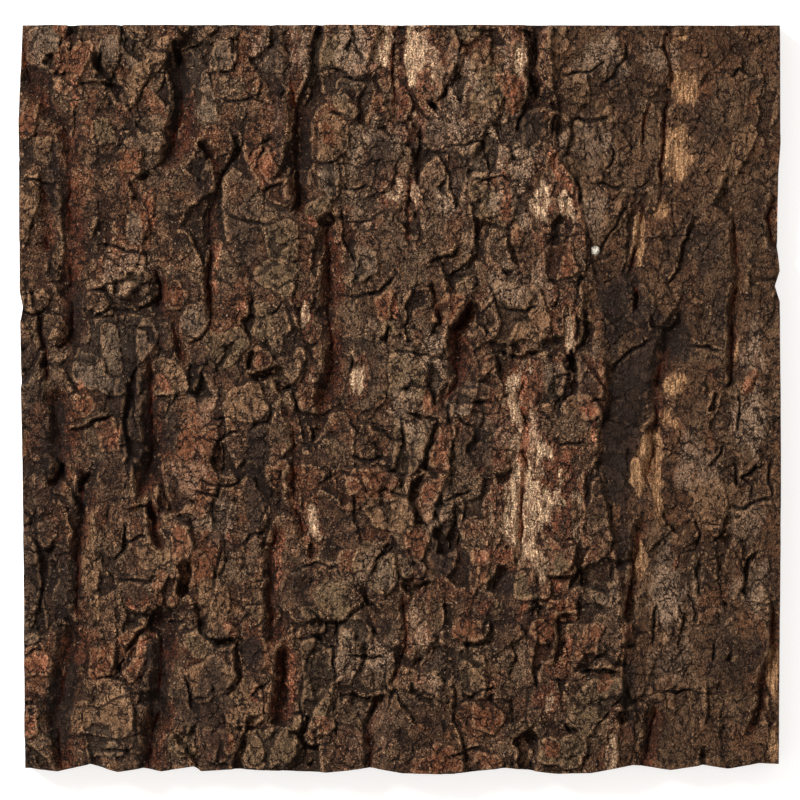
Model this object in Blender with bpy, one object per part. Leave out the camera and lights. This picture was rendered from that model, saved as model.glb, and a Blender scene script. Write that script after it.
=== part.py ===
"""A square-cut piece of thick, furrowed cork-type bark, lying on its flat inner face.

X runs across the grain, Y along it and Z out of the weathered face. The bark is one solid: a sawn
slab with straight sides whose top is the outer face of the tree, with its ridges, furrows, gashes
and flaking scales.
"""
import bmesh
import bpy
import numpy as np

# Sizes, all in millimetres unless the name says otherwise.
METRES = 0.001
WIDTH = 300.0
TOP_Y = 146.7
LOWEST_Y = -148.0
HIGHEST_Z = 25.0
LOWEST_FACE_Z = 6.0
CREST_Z = 19.4
STEP_DOWN = 3.2
COLUMNS = 73
ROWS = 71

# How much of each furrow's, gash's and layer's height shows.
FURROW_SHARE = 0.68
GASH_SHARE = 0.62
HOLLOW_SHARE = 0.8
BIG_SHARE = 0.85
MID_LEAST = 0.3
MID_MORE = 0.45

# Where each side of the sawn outline stands, read along it.
LEFT_EDGE = ((-148, -147.5), (-60, -148.0), (30, -149.4), (36, -148.4), (42, -149.6), (110, -150.0),
             (147, -148.6))
RIGHT_EDGE = ((-148, 149.2), (-20, 150.0), (38, 149.6), (44, 147.6), (50, 149.6), (60, 148.6), (88, 149.0),
              (100, 149.9), (146, 149.6))
LOWER_EDGE = ((-148, -145.6), (-137, -147), (-124, -144), (-113, -147), (-103, -145.5), (-96, -147),
              (-83, -145), (-80, -147), (-66, -146), (-30, -147.3), (-12, -145.5), (0, -147.5), (20, -148),
              (41, -145.5), (62, -147.9), (75, -147.5), (92, -144.5), (107, -146.5), (120, -144.5),
              (130, -146), (142, -143.8), (150, -144.2))

# The lip where the ridged bark stands above the smoother slab on the right, as (y, x).
LIP = ((-150, 85), (-108, 87), (-92, 88), (-62, 84), (-42, 80), (-22, 77), (-6, 79), (2, 80), (17, 71),
       (45, 71), (62, 73), (84, 69), (100, 60), (118, 60), (147, 58))

# Furrows between the ridges: half-width, depth, and the points down the middle.
FURROWS = (
    (5.5, 7.0, ((-149, 150), (-148, 133), (-144, 123), (-138, 114), (-132, 108), (-129.5, 100),
                (-129.5, 88))),
    (6.5, 8.5, ((-129.5, 90), (-131, 78), (-130, 68), (-128, 60), (-129, 48), (-129, 32), (-130, 24),
                (-135, 18))),
    (6.0, 6.0, ((-143, 84), (-139, 76), (-138, 66), (-140, 56))),
    (3.5, 6.0, ((-142, 33), (-141.5, 25), (-139.5, 19), (-139.5, 5))),
    (7.5, 9.0, ((-138, 3), (-135, -4), (-133.5, -12), (-133.5, -27), (-138, -35))),
    (5.0, 7.5, ((-124, -28), (-125, -38), (-126.5, -50), (-127, -62), (-126.5, -80), (-125, -92))),
    (8.5, 8.5, ((-128, -86), (-131, -98), (-133, -112), (-135, -125), (-134, -140), (-133, -150))),
    (6.5, 9.5, ((-89, 139), (-87, 133), (-86, 122), (-87, 110), (-89, 101), (-94, 91))),
    (3.5, 6.5, ((-79, 101), (-75, 96), (-72, 92), (-71, 86), (-73, 79), (-75, 72), (-75.5, 52),
                (-75, 33), (-76, 26))),
    (4.0, 7.0, ((-98, 51), (-95, 46), (-94, 34), (-89, 30), (-88, 20), (-84, 12))),
    (6.5, 8.5, ((-99, 13), (-98, 4), (-98, -10), (-98.5, -24), (-101, -34), (-101, -40))),
    (2.6, 6.0, ((-99, -42), (-96, -46), (-96.5, -53), (-93.5, -60))),
    (7.0, 9.5, ((-95, -82), (-94, -90), (-93, -100), (-94, -112), (-95, -122), (-98, -132), (-99, -150))),
    (5.5, 6.0, ((-43.5, 150), (-44, 139), (-43, 124), (-41.5, 112), (-40.5, 98), (-40.5, 84), (-39, 75),
                (-33, 68))),
    (6.5, 9.0, ((-29, 70), (-28, 60), (-28, 45), (-27, 28), (-27, 14), (-29, 4), (-31, -8))),
    (4.5, 6.0, ((-46, -3), (-42, -10), (-42, -22), (-42.5, -34), (-41, -45), (-38, -56))),
    (5.0, 7.5, ((-50, -48), (-51, -62), (-51.5, -80), (-51.5, -98))),
    (6.5, 10.0, ((-47, -98), (-46.5, -110), (-48, -120), (-50, -129))),
    (5.5, 7.5, ((28, 39), (26, 32), (22, 27), (23, 18), (22.5, 6), (17, -3))),
    (3.0, 4.5, ((13.5, 44), (14.5, 36), (16, 29))),
    (3.0, 4.0, ((1.5, -76), (1.6, -95), (0, -106), (-2.5, -113))),
    (4.0, 5.0, ((-9, -118), (-11, -127), (-12, -150))),
    (3.2, 4.0, ((49, 12), (47, 0), (50, -12), (49.5, -30), (48, -45), (48, -64))),
    (3.0, 4.0, ((97, 78), (94, 68), (92, 58), (91.5, 48), (94, 40), (92, 34))),
    (5.5, 6.5, ((106, 28), (103.5, 18), (102, 6), (101, -8), (99, -20), (97.5, -36))),
    (4.0, 5.5, ((97, -43), (94, -55), (91, -68), (88.5, -80), (87.5, -90))),
    (3.6, 4.4, ((131, 72), (131.5, 58), (131.5, 42), (130.5, 26), (129.5, 8), (129, 2))),
    (3.0, 5.0, ((146, 80), (145, 70), (146, 61), (151, 55))),
    (3.5, 5.5, ((146.5, -79), (147, -92), (147.5, -101), (143, -110), (141.5, -121), (137, -132))),
    (5.0, 7.0, ((101, -122), (99, -132), (95, -142), (92, -150))),
)

# Deep open gashes where the bark has split: half-width, depth, and their points.
GASHES = (
    (2.0, 7.0, ((-140, 130), (-137, 133), (-137, 136))),
    (2.2, 7.5, ((-113, 123), (-115, 127), (-120, 131), (-119, 137))),
    (2.0, 6.5, ((-127, 124), (-121, 123), (-116, 124), (-110, 122), (-110, 117))),
    (2.0, 7.0, ((-89, 141), (-87, 136), (-86, 130))),
    (2.8, 7.0, ((-80, 102), (-76, 99), (-73.5, 94))),
    (2.6, 6.5, ((-104, 87), (-100, 88), (-98, 91))),
    (2.2, 7.0, ((-43, 74), (-40, 77), (-40, 90))),
    (2.8, 8.0, ((-33, 69), (-28, 69), (-26, 74))),
    (2.2, 5.0, ((12.4, 115.4), (16, 119), (20, 125), (23, 131), (26.5, 136))),
    (2.6, 9.0, ((11.6, 114.6), (13.2, 116.2))),
    (2.6, 7.5, ((29, 39), (27, 34), (24, 30), (20, 27))),
    (2.0, 7.0, ((38, 19), (42, 16), (48, 15.5), (57, 19))),
    (2.2, 7.5, ((66.5, 10), (67.5, 14), (69, 17))),
    (3.2, 9.0, ((-60, 10), (-55, 8.5), (-49, 11), (-46, 5), (-46, -1))),
    (2.2, 8.0, ((15, -8), (14.5, -15), (12, -20), (10.5, -23), (10.5, -29))),
    (2.6, 9.0, ((10, -29), (7, -33), (6, -40), (7, -47), (13, -50))),
    (3.2, 9.0, ((13, -50), (17, -55), (18, -63))),
    (2.6, 7.0, ((1, -70), (5, -76), (11, -72), (11, -70))),
    (2.8, 6.0, ((42, -66), (39, -72), (34, -76))),
    (2.0, 7.0, ((36, -86), (37, -95), (32, -96), (24, -97))),
    (3.8, 8.5, ((53, -128), (49, -136), (47, -143), (52, -150))),
    (3.0, 8.5, ((70, -84), (64, -88), (63.5, -96), (62, -104))),
    (2.0, 7.0, ((86, -124), (88, -130))),
    (2.2, 6.5, ((120, -137), (120, -150))),
    (3.4, 11.0, ((-85, -63), (-84.2, -70), (-85.5, -79))),
    (2.0, 6.0, ((-79.5, -80), (-78, -88), (-77, -94))),
    (2.6, 7.5, ((-63.5, -96), (-64, -102), (-63, -108), (-68, -117))),
    (2.8, 8.0, ((-64, -150), (-61, -136), (-58, -127), (-55, -124))),
    (2.8, 8.0, ((-88, -133), (-84, -138), (-80, -143), (-81, -150))),
    (2.2, 7.0, ((-45, -131), (-40, -132), (-36, -137), (-30, -140))),
    (3.0, 7.0, ((-22, -118), (-14, -119), (-6, -118), (-5, -122))),
    (2.0, 7.0, ((-122, -29), (-125, -33), (-126, -37))),
    (2.0, 7.0, ((-139, -34), (-135, -31), (-131.5, -25))),
)

# Raised plates of crust: middle, half-width, half-length, turn in degrees, and rise.
PLATES = (
    ((-140, 137), 7.5, 9, 0, 1.8), ((-130, 131), 6, 13, -28, 1.8), ((-111, 136), 7.5, 6.5, 0, 1.6),
    ((-94, 136.5), 6, 4.5, 20, 2.0), ((-69, 135), 5.5, 6.5, 0, 1.8), ((-107, 93), 6, 5, 0, 1.6),
    ((-146, 110), 4.5, 8, -20, 1.6), ((-52, 88), 6.5, 12, 32, 2.0), ((-20.5, 118), 6.5, 7, -10, 2.0),
    ((-26.5, 102), 6.2, 8.8, -6, 2.0), ((-31, 74), 5.5, 4.5, 0, 2.0), ((26, 143), 6.5, 3.4, 0, 1.8),
    ((35, 122), 6.5, 8.5, -25, 1.8), ((33, 112), 5, 6, 0, 1.6), ((30, 91), 4.5, 8, 0, 1.8),
    ((33, 77), 6, 7.5, 0, 1.6), ((-21, 65), 5.5, 4.5, 10, 1.8), ((62, 54), 8, 6.5, 10, 1.6),
    ((-136, 28), 4.6, 5.5, 0, 2.4), ((-143, 38), 5, 4, 20, 1.6), ((-81, 30), 5.5, 7, 0, 2.0),
    ((-91, 8), 7, 6.5, 0, 2.4), ((-115, -15), 5, 6.5, 15, 1.8), ((-125, -4), 5, 5, 0, 1.6),
    ((-113, 18), 13, 17, -20, 1.6), ((-82, -28), 12, 21, -10, 1.6), ((-77, -6), 8, 7, 0, 1.6),
    ((-61, -2), 8, 9, 10, 2.0), ((3, 8), 8, 10.5, -8, 2.2), ((4, -18), 7.5, 10, -8, 2.0),
    ((-13, -33), 14, 6, -10, 1.6), ((17, -21), 4.6, 9.5, -12, 2.2), ((20, 35), 6.2, 7, -20, 2.4),
    ((46, 34), 11, 14.5, 0, 2.4), ((31, 3), 5, 3.4, 0, 1.8), ((24, 0), 6, 8, -10, 1.6),
    ((-18, -37), 7, 7, 0, 1.6), ((-3, -45), 10, 7, 0, 1.8), ((75, 8), 6, 10, -5, 2.2),
    ((74, -5), 5.5, 3.6, 20, 2.0), ((62, 6), 6, 7, 0, 1.6), ((-7, -69), 6.5, 6.5, 30, 2.4),
    ((-13, -62), 5, 6, -30, 1.6), ((-26, -80), 7, 8, 20, 1.6), ((-18, -92), 7, 7.5, 0, 1.6),
    ((-33, -112), 7, 17, 0, 2.0), ((-31, -130), 5.5, 4.5, 0, 2.2), ((-50, -137), 12, 8, 0, 2.0),
    ((6, -57), 5, 7, 0, 1.8), ((5, -67), 5, 4, -20, 1.6), ((27, -91), 6.5, 5.5, 0, 1.8),
    ((29, -107), 6, 10, 5, 2.0), ((34, -125), 6.5, 6.5, -30, 1.8), ((18, -142), 7, 6, 0, 1.8),
    ((34, -142.5), 5.5, 4, 0, 1.8), ((52, -73), 6.5, 8, 0, 2.2), ((62, -62), 7, 7, 0, 2.2),
    ((80, -76), 6.5, 4.6, 0, 1.8), ((64, -83), 6, 5, 0, 1.6), ((56, -96), 6, 9, 0, 1.8),
    ((74, -96), 5, 8, -15, 1.8), ((76, -121), 6.8, 14, -32, 2.4), ((64, -139), 10, 7, 0, 2.4),
    ((-143, -103), 5, 8, 10, 2.2), ((-118, -104), 5.5, 7, 10, 1.6), ((-118, -122), 12, 13, 0, 1.6),
    ((-74, -110), 9, 9, 30, 1.6), ((-62, -120), 8, 10, 20, 1.6), ((-71, -137), 7, 6, 0, 1.6),
    ((-86, -137), 5, 5, 0, 1.8), ((-97, -61), 6.5, 6, 0, 1.6),
)


def hashed(ix, iy, seed):
    """Give a repeatable number from 0 to 1 for each whole-number place."""
    h = (ix.astype(np.int64) * 374761393 + iy.astype(np.int64) * 668265263 + seed * 974634777) & 0xFFFFFFFF
    h = ((h ^ (h >> 13)) * 1274126177) & 0xFFFFFFFF
    return ((h ^ (h >> 16)) & 0xFFFFFF) / float(0xFFFFFF)


def noise(x, y, size, seed):
    """Give smooth noise from -1 to 1 whose lumps are about size across."""
    u = x / size
    v = y / size
    iu = np.floor(u)
    iv = np.floor(v)
    fu = u - iu
    fv = v - iv
    su = fu * fu * fu * (fu * (fu * 6 - 15) + 10)
    sv = fv * fv * fv * (fv * (fv * 6 - 15) + 10)
    a = hashed(iu, iv, seed)
    b = hashed(iu + 1, iv, seed)
    c = hashed(iu, iv + 1, seed)
    d = hashed(iu + 1, iv + 1, seed)
    return 2 * ((a + (b - a) * su) * (1 - sv) + (c + (d - c) * su) * sv) - 1


def fractal(x, y, size, seed, octaves, gain=0.5):
    """Add up noise at halving sizes."""
    total = 0.0
    weight = 0.0
    for k in range(octaves):
        total = total + gain ** k * noise(x + 17.3 * k, y - 9.1 * k, size / 2 ** k, seed + k)
        weight += gain ** k
    return total / weight


def smooth(t):
    """Ease from 0 to 1."""
    t = np.clip(t, 0.0, 1.0)
    return t * t * (3 - 2 * t)


def along(x, y, points):
    """Give the distance to a line of points, the way along it from 0 to 1, and the side, -1 or 1."""
    points = np.array(points, float)
    steps = np.hypot(*(points[1:] - points[:-1]).T)
    before = np.concatenate([[0.0], np.cumsum(steps)])
    best = np.full(x.shape, 1e9)
    place = np.zeros(x.shape)
    lee = np.zeros(x.shape)
    for (ax, ay), (bx, by), step, start in zip(points[:-1], points[1:], steps, before):
        t = np.clip(((x - ax) * (bx - ax) + (y - ay) * (by - ay)) / step ** 2, 0.0, 1.0)
        dx = x - ax - t * (bx - ax)
        dy = y - ay - t * (by - ay)
        d = np.hypot(dx, dy)
        nearer = d < best
        best = np.where(nearer, d, best)
        place = np.where(nearer, (start + t * step) / before[-1], place)
        lee = np.where(nearer, (0.85 * dx - 0.53 * dy) / np.maximum(d, 0.05), lee)
    return best, place, lee


def edge_at(edge, place):
    """Read a side of the outline, or the lip, at a place along it."""
    return np.interp(place, [p[0] for p in edge], [p[1] for p in edge])


def layers(x, y, wide, long, seed, size=0.62, turn=0.5, tilt=0.10, step=1.0, wall=3.0, jitter=0.8):
    """Lay overlapping plates over the face and give the height of the topmost."""
    iu = np.floor(x / wide)
    iv = np.floor(y / long)
    top = np.full(x.shape, -9.0)
    for du in (-1, 0, 1):
        for dv in (-1, 0, 1):
            cu = iu + du
            cv = iv + dv
            r = [hashed(cu, cv, seed + n) for n in range(8)]
            dx = x - (cu + 0.5 + jitter * (r[0] - 0.5)) * wide
            dy = y - (cv + 0.5 + jitter * (r[1] - 0.5)) * long
            a = turn * 2 * (r[2] - 0.5)
            p = (dx * np.cos(a) + dy * np.sin(a)) / (wide * size * (0.72 + 0.56 * r[3]))
            q = (dy * np.cos(a) - dx * np.sin(a)) / (long * size * (0.72 + 0.56 * r[4]))
            round_about = np.arctan2(q, p)
            out = (np.abs(p) ** 2.8 + np.abs(q) ** 2.8) ** (1 / 2.8)
            waves = 0.13 * np.sin(2 * round_about + 6.3 * r[5]) + 0.10 * np.sin(3 * round_about + 6.3 * r[6])
            out = out / (1 + waves + 0.05 * np.sin(5 * round_about + 6.3 * r[3]))
            inside = (1 - out) * min(wide, long) * size
            face = step * r[7] + tilt * ((r[5] - 0.5) * dx + (r[6] - 0.35) * dy) * 2
            rounding = 1 - smooth(inside / (0.14 * wide * size))
            face = face - wall * np.maximum(-inside, 0) - 0.14 * step * rounding
            top = np.maximum(top, face)
    return np.maximum(top, -0.9 * step)


def bark_height(x, y):
    """Height of the weathered face above the flat back, at places on the slab."""
    wx = x + 1.7 * fractal(x, y, 16, 11, 3) + 1.1 * fractal(x, y, 4.5, 21, 4, 0.6)
    wy = y + 1.7 * fractal(x, y, 16, 31, 3) + 1.1 * fractal(x, y, 4.5, 41, 4, 0.6)
    lip = edge_at(LIP, y)
    lower = smooth((wx - lip) / 1.6)
    rugged = 1 - 0.42 * smooth((x - lip) / 8)
    height = CREST_Z + 1.9 * fractal(x, y * 0.4, 30, 3, 3) - STEP_DOWN * lower
    height = height + 1.3 * fractal(x + 0.5 * (wx - x), y * 0.13, 11, 7, 2)
    furrow = np.zeros(x.shape)
    for half, depth, points in FURROWS:
        d, t, lee = along(wx, wy, points)
        ends = np.sqrt(smooth(np.minimum(t, 1 - t) * 6))
        wide = half * (0.7 + 0.35 * ends) * (1 + 0.25 * noise(x, y, 9, 51)) * (1 + 0.35 * lee)
        valley = 0.6 * np.clip(1 - d / wide, 0, 1) + 0.4 * smooth(1.25 * (1 - d / wide))
        valley = valley * (1 + 0.35 * noise(x, y, 14, 55))
        furrow = np.maximum(furrow, FURROW_SHARE * depth * (0.3 + 0.7 * ends) * valley)
    upper = 1 - smooth(furrow / 5.0)
    big = layers(wx, wy, 18.0, 32.0, 201, size=0.62, turn=0.35, tilt=0.10, step=3.0, wall=5.0)
    mid = layers(wx + 5, wy - 3, 9.5, 15.0, 221, size=0.60, turn=0.6, tilt=0.15, step=2.2, wall=5.0)
    some = smooth((noise(x, y, 18, 261) + 0.45) / 0.4)
    layered = BIG_SHARE * big + (MID_LEAST + MID_MORE * some) * mid
    height = height + rugged * (0.45 + 0.55 * upper) * layered
    for (cx, cy), half, long, turn, rise in PLATES:
        a = np.radians(turn)
        p = ((wx - cx) * np.cos(a) + (wy - cy) * np.sin(a)) / half
        q = ((wy - cy) * np.cos(a) - (wx - cx) * np.sin(a)) / long
        out = (np.abs(p) ** 2.8 + np.abs(q) ** 2.8) ** (1 / 2.8)
        height = height + 1.15 * rise * smooth((1 - out) * min(half, long) * 1.1 / 0.7) * (0.6 + 0.4 * upper)
    height = height - furrow
    gash = np.zeros(x.shape)
    hollow = np.zeros(x.shape)
    for half, depth, points in GASHES:
        d, t, lee = along(wx, wy, points)
        ends = smooth(np.minimum(t, 1 - t) * 5)
        wide = (0.95 * half - 0.4) * (0.2 + 0.8 * ends)
        gash = np.maximum(gash, depth * (0.4 + 0.6 * ends) * smooth((wide + 0.6 - d) / 1.4))
        slope = 0.5 * smooth(1 - d / (2.6 * half + 2)) * smooth(0.5 + lee) * ends
        hollow = np.maximum(hollow, depth * slope)
    return height - np.maximum(GASH_SHARE * gash, HOLLOW_SHARE * hollow)


def soft_limits(height):
    """Ease the heights in under the highest crest and above the deepest furrow floor."""
    soft = 1.5
    over = HIGHEST_Z - soft
    under = LOWEST_FACE_Z + soft
    height = np.where(height > over, over + soft * (1 - np.exp(-(height - over) / soft)), height)
    return np.where(height < under, under - soft * (1 - np.exp(-(under - height) / soft)), height)


def slab_grid():
    """Lay columns and rows over the sawn outline, and draw each row's points onto the furrows it crosses."""
    u = np.linspace(0.0, 1.0, COLUMNS + 1)
    v = np.linspace(0.0, 1.0, ROWS + 1)
    across, up = np.meshgrid(u, v)
    first_x = (across - 0.5) * WIDTH
    low = edge_at(LOWER_EDGE, first_x)
    y = low + (TOP_Y - low) * up
    left = edge_at(LEFT_EDGE, y)
    right = edge_at(RIGHT_EDGE, y)
    x = left + (right - left) * across
    pitch = WIDTH / COLUMNS
    taken = np.zeros(x.shape, bool)
    for half, depth, points in FURROWS + GASHES:
        for (ax, ay), (bx, by) in zip(points[:-1], points[1:]):
            for row in range(1, ROWS):
                row_y = y[row, COLUMNS // 2]
                if not min(ay, by) <= row_y <= max(ay, by) or ay == by:
                    continue
                at = ax + (bx - ax) * (row_y - ay) / (by - ay) - 1.7 * fractal(
                    np.array([ax]), np.array([row_y]), 16, 11, 3)[0]
                column = int(np.argmin(np.abs(x[row] - at)))
                if 0 < column < COLUMNS and not taken[row, column]:
                    shift = np.clip(at - x[row, column], -0.42 * pitch, 0.42 * pitch)
                    x[row, column] += shift
                    taken[row, column] = True
    return x, y


def build_bark():
    """Make the closed slab: the weathered face, four sawn sides and the flat inner face."""
    x, y = slab_grid()
    around = ((0.0, 0.0), (0.9, 0.0), (-0.9, 0.0), (0.0, 0.9), (0.0, -0.9))
    height = sum(bark_height(x + dx, y + dy) for dx, dy in around) / len(around)
    z = soft_limits(height)
    z = z + (HIGHEST_Z - z.max()) * smooth((z - 20.0) / (z.max() - 20.0))
    rest_y = -(TOP_Y + LOWEST_Y) / 2
    last_row, last_column = ROWS, COLUMNS
    body = bmesh.new()
    top = [[body.verts.new((x[j, i] * METRES, (y[j, i] + rest_y) * METRES, z[j, i] * METRES))
            for i in range(COLUMNS + 1)] for j in range(ROWS + 1)]
    for j in range(ROWS):
        for i in range(COLUMNS):
            a, b, c, d = top[j][i], top[j][i + 1], top[j + 1][i + 1], top[j + 1][i]
            if abs(a.co.z - c.co.z) <= abs(b.co.z - d.co.z):
                body.faces.new((a, b, c))
                body.faces.new((a, c, d))
            else:
                body.faces.new((a, b, d))
                body.faces.new((b, c, d))
    rim = [top[0][i] for i in range(COLUMNS)] + [top[j][last_column] for j in range(ROWS)]
    rim += [top[last_row][i] for i in range(last_column, 0, -1)]
    rim += [top[j][0] for j in range(last_row, 0, -1)]
    foot = [body.verts.new((v.co.x, v.co.y, 0.0)) for v in rim]
    for k, upper_point in enumerate(rim):
        n = (k + 1) % len(rim)
        body.faces.new((upper_point, foot[k], foot[n], rim[n]))
    body.faces.new(list(reversed(foot)))
    bmesh.ops.triangulate(body, faces=[f for f in body.faces if len(f.verts) > 3])
    bmesh.ops.recalc_face_normals(body, faces=body.faces)
    mesh = bpy.data.meshes.new("bark")
    body.to_mesh(mesh)
    body.free()
    return mesh


def bark_material():
    """Dry corky bark, dark brown and quite matt."""
    material = bpy.data.materials.new("bark_outer")
    material.use_nodes = True
    shader = material.node_tree.nodes["Principled BSDF"]
    shader.inputs["Base Color"].default_value = (0.085, 0.048, 0.028, 1.0)
    shader.inputs["Roughness"].default_value = 0.88
    material.diffuse_color = (0.085, 0.048, 0.028, 1.0)
    return material


for old in list(bpy.data.objects):
    bpy.data.objects.remove(old)
bark = bpy.data.objects.new("bark", build_bark())
bark.data.materials.append(bark_material())
bpy.context.scene.collection.objects.link(bark)
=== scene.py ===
import math
import bpy
import numpy as np
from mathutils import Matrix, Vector


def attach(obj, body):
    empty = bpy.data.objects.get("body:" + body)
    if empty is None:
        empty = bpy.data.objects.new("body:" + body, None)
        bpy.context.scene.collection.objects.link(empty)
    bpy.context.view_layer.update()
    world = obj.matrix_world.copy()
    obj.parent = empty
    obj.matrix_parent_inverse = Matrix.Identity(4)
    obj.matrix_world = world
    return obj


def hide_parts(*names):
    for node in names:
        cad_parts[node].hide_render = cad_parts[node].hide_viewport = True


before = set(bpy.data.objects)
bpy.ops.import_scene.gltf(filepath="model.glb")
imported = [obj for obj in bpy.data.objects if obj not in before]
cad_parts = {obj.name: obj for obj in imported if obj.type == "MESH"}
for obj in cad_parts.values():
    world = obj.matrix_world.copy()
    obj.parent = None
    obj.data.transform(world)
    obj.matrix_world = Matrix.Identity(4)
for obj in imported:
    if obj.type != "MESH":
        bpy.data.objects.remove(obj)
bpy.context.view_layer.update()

# The bark. One slab of thick, furrowed cork-type bark, sawn square and lying on its flat inner face.
# Its outer face is dead corky tissue that has split along the grain as the trunk grew, and cracked
# across into plates that weather grey, flake away and leave rust-coloured scars.

# Every size in this section is in mm, read from the middle of the slab, as the part's own are.
MM = 0.001
WIDTH = 300.0
TOP_Y = 146.7
LOWEST_Y = -148.0
REST_Y = -(TOP_Y + LOWEST_Y) / 2
HIGHEST_Z = 25.0
LOWEST_FACE_Z = 6.0
CREST_Z = 19.4
STEP_DOWN = 3.2

# The face is a grid of half-millimetre cells in four widths. Down the sawn sides, rows keep these shares of
# its height.
STRIPS = 4
STRIP_COLUMNS = 146
COLUMNS = STRIPS * STRIP_COLUMNS
ROWS = 576
SIDE_ROWS = (0.96, 0.8, 0.6, 0.4, 0.2, 0.0)

# Edges that turn by less than this many degrees are shaded smooth.
SMOOTH_UNDER = 70

# Where each side of the sawn outline stands, read along it.
LEFT_EDGE = (
    (-148, -147.5), (-60, -148.0), (30, -149.4), (36, -148.4), (42, -149.6), (110, -150.0),
    (147, -148.6),
)
RIGHT_EDGE = (
    (-148, 149.2), (-20, 150.0), (38, 149.6), (44, 147.6), (50, 149.6), (60, 148.6), (88, 149.0),
    (100, 149.9), (146, 149.6),
)
LOWER_EDGE = (
    (-148, -145.6), (-137, -147), (-124, -144), (-113, -147), (-103, -145.5), (-96, -147), (-83, -145),
    (-80, -147), (-66, -146), (-30, -147.3), (-12, -145.5), (0, -147.5), (20, -148), (41, -145.5),
    (62, -147.9), (75, -147.5), (92, -144.5), (107, -146.5), (120, -144.5), (130, -146), (142, -143.8),
    (150, -144.2),
)
LIP = (
    (-150, 85), (-108, 87), (-92, 88), (-62, 84), (-42, 80), (-22, 77), (-6, 79), (2, 80), (17, 71),
    (45, 71), (62, 73), (84, 69), (100, 60), (118, 60), (147, 58),
)

# Furrows between the ridges: half-width, depth, and the points down the middle.
FURROWS = (
    (5.5, 7.0, ((-149, 150), (-148, 133), (-144, 123), (-138, 114), (-132, 108), (-129.5, 100),
        (-129.5, 88))),
    (6.5, 8.5, ((-129.5, 90), (-131, 78), (-130, 68), (-128, 60), (-129, 48), (-129, 32), (-130, 24),
        (-135, 18))), (6.0, 6.0, ((-143, 84), (-139, 76), (-138, 66), (-140, 56))),
    (3.5, 6.0, ((-142, 33), (-141.5, 25), (-139.5, 19), (-139.5, 5))),
    (7.5, 9.0, ((-138, 3), (-135, -4), (-133.5, -12), (-133.5, -27), (-138, -35))),
    (5.0, 7.5, ((-124, -28), (-125, -38), (-126.5, -50), (-127, -62), (-126.5, -80), (-125, -92))),
    (8.5, 8.5, ((-128, -86), (-131, -98), (-133, -112), (-135, -125), (-134, -140), (-133, -150))),
    (6.5, 9.5, ((-89, 139), (-87, 133), (-86, 122), (-87, 110), (-89, 101), (-94, 91))),
    (3.5, 6.5, ((-79, 101), (-75, 96), (-72, 92), (-71, 86), (-73, 79), (-75, 72), (-75.5, 52),
        (-75, 33), (-76, 26))),
    (4.0, 7.0, ((-98, 51), (-95, 46), (-94, 34), (-89, 30), (-88, 20), (-84, 12))),
    (6.5, 8.5, ((-99, 13), (-98, 4), (-98, -10), (-98.5, -24), (-101, -34), (-101, -40))),
    (2.6, 6.0, ((-99, -42), (-96, -46), (-96.5, -53), (-93.5, -60))),
    (7.0, 9.5, ((-95, -82), (-94, -90), (-93, -100), (-94, -112), (-95, -122), (-98, -132),
        (-99, -150))),
    (5.5, 6.0, ((-43.5, 150), (-44, 139), (-43, 124), (-41.5, 112), (-40.5, 98), (-40.5, 84), (-39, 75),
        (-33, 68))),
    (6.5, 9.0, ((-29, 70), (-28, 60), (-28, 45), (-27, 28), (-27, 14), (-29, 4), (-31, -8))),
    (4.5, 6.0, ((-46, -3), (-42, -10), (-42, -22), (-42.5, -34), (-41, -45), (-38, -56))),
    (5.0, 7.5, ((-50, -48), (-51, -62), (-51.5, -80), (-51.5, -98))),
    (6.5, 10.0, ((-47, -98), (-46.5, -110), (-48, -120), (-50, -129))),
    (1.3, 2.6, ((-3, 150), (-2.6, 138), (-2.5, 124), (-2.8, 108))),
    (1.5, 3.0, ((3, 108), (7, 104), (6.5, 96), (4, 89), (3.6, 74), (4.2, 58))),
    (5.5, 7.5, ((28, 39), (26, 32), (22, 27), (23, 18), (22.5, 6), (17, -3))),
    (3.0, 4.5, ((13.5, 44), (14.5, 36), (16, 29))),
    (3.0, 4.0, ((1.5, -76), (1.6, -95), (0, -106), (-2.5, -113))),
    (4.0, 5.0, ((-9, -118), (-11, -127), (-12, -150))),
    (3.2, 4.0, ((49, 12), (47, 0), (50, -12), (49.5, -30), (48, -45), (48, -64))),
    (2.0, 3.4, ((108, 150), (104, 139), (107, 130), (105, 120), (104, 104), (103, 90), (102, 76))),
    (1.6, 2.6, ((99, 116), (96, 107), (96, 92))),
    (3.0, 4.0, ((97, 78), (94, 68), (92, 58), (91.5, 48), (94, 40), (92, 34))),
    (5.5, 6.5, ((106, 28), (103.5, 18), (102, 6), (101, -8), (99, -20), (97.5, -36))),
    (4.0, 5.5, ((97, -43), (94, -55), (91, -68), (88.5, -80), (87.5, -90))),
    (3.6, 4.4, ((131, 72), (131.5, 58), (131.5, 42), (130.5, 26), (129.5, 8), (129, 2))),
    (3.0, 5.0, ((146, 80), (145, 70), (146, 61), (151, 55))),
    (3.5, 5.5, ((146.5, -79), (147, -92), (147.5, -101), (143, -110), (141.5, -121), (137, -132))),
    (5.0, 7.0, ((101, -122), (99, -132), (95, -142), (92, -150))),
)

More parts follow.
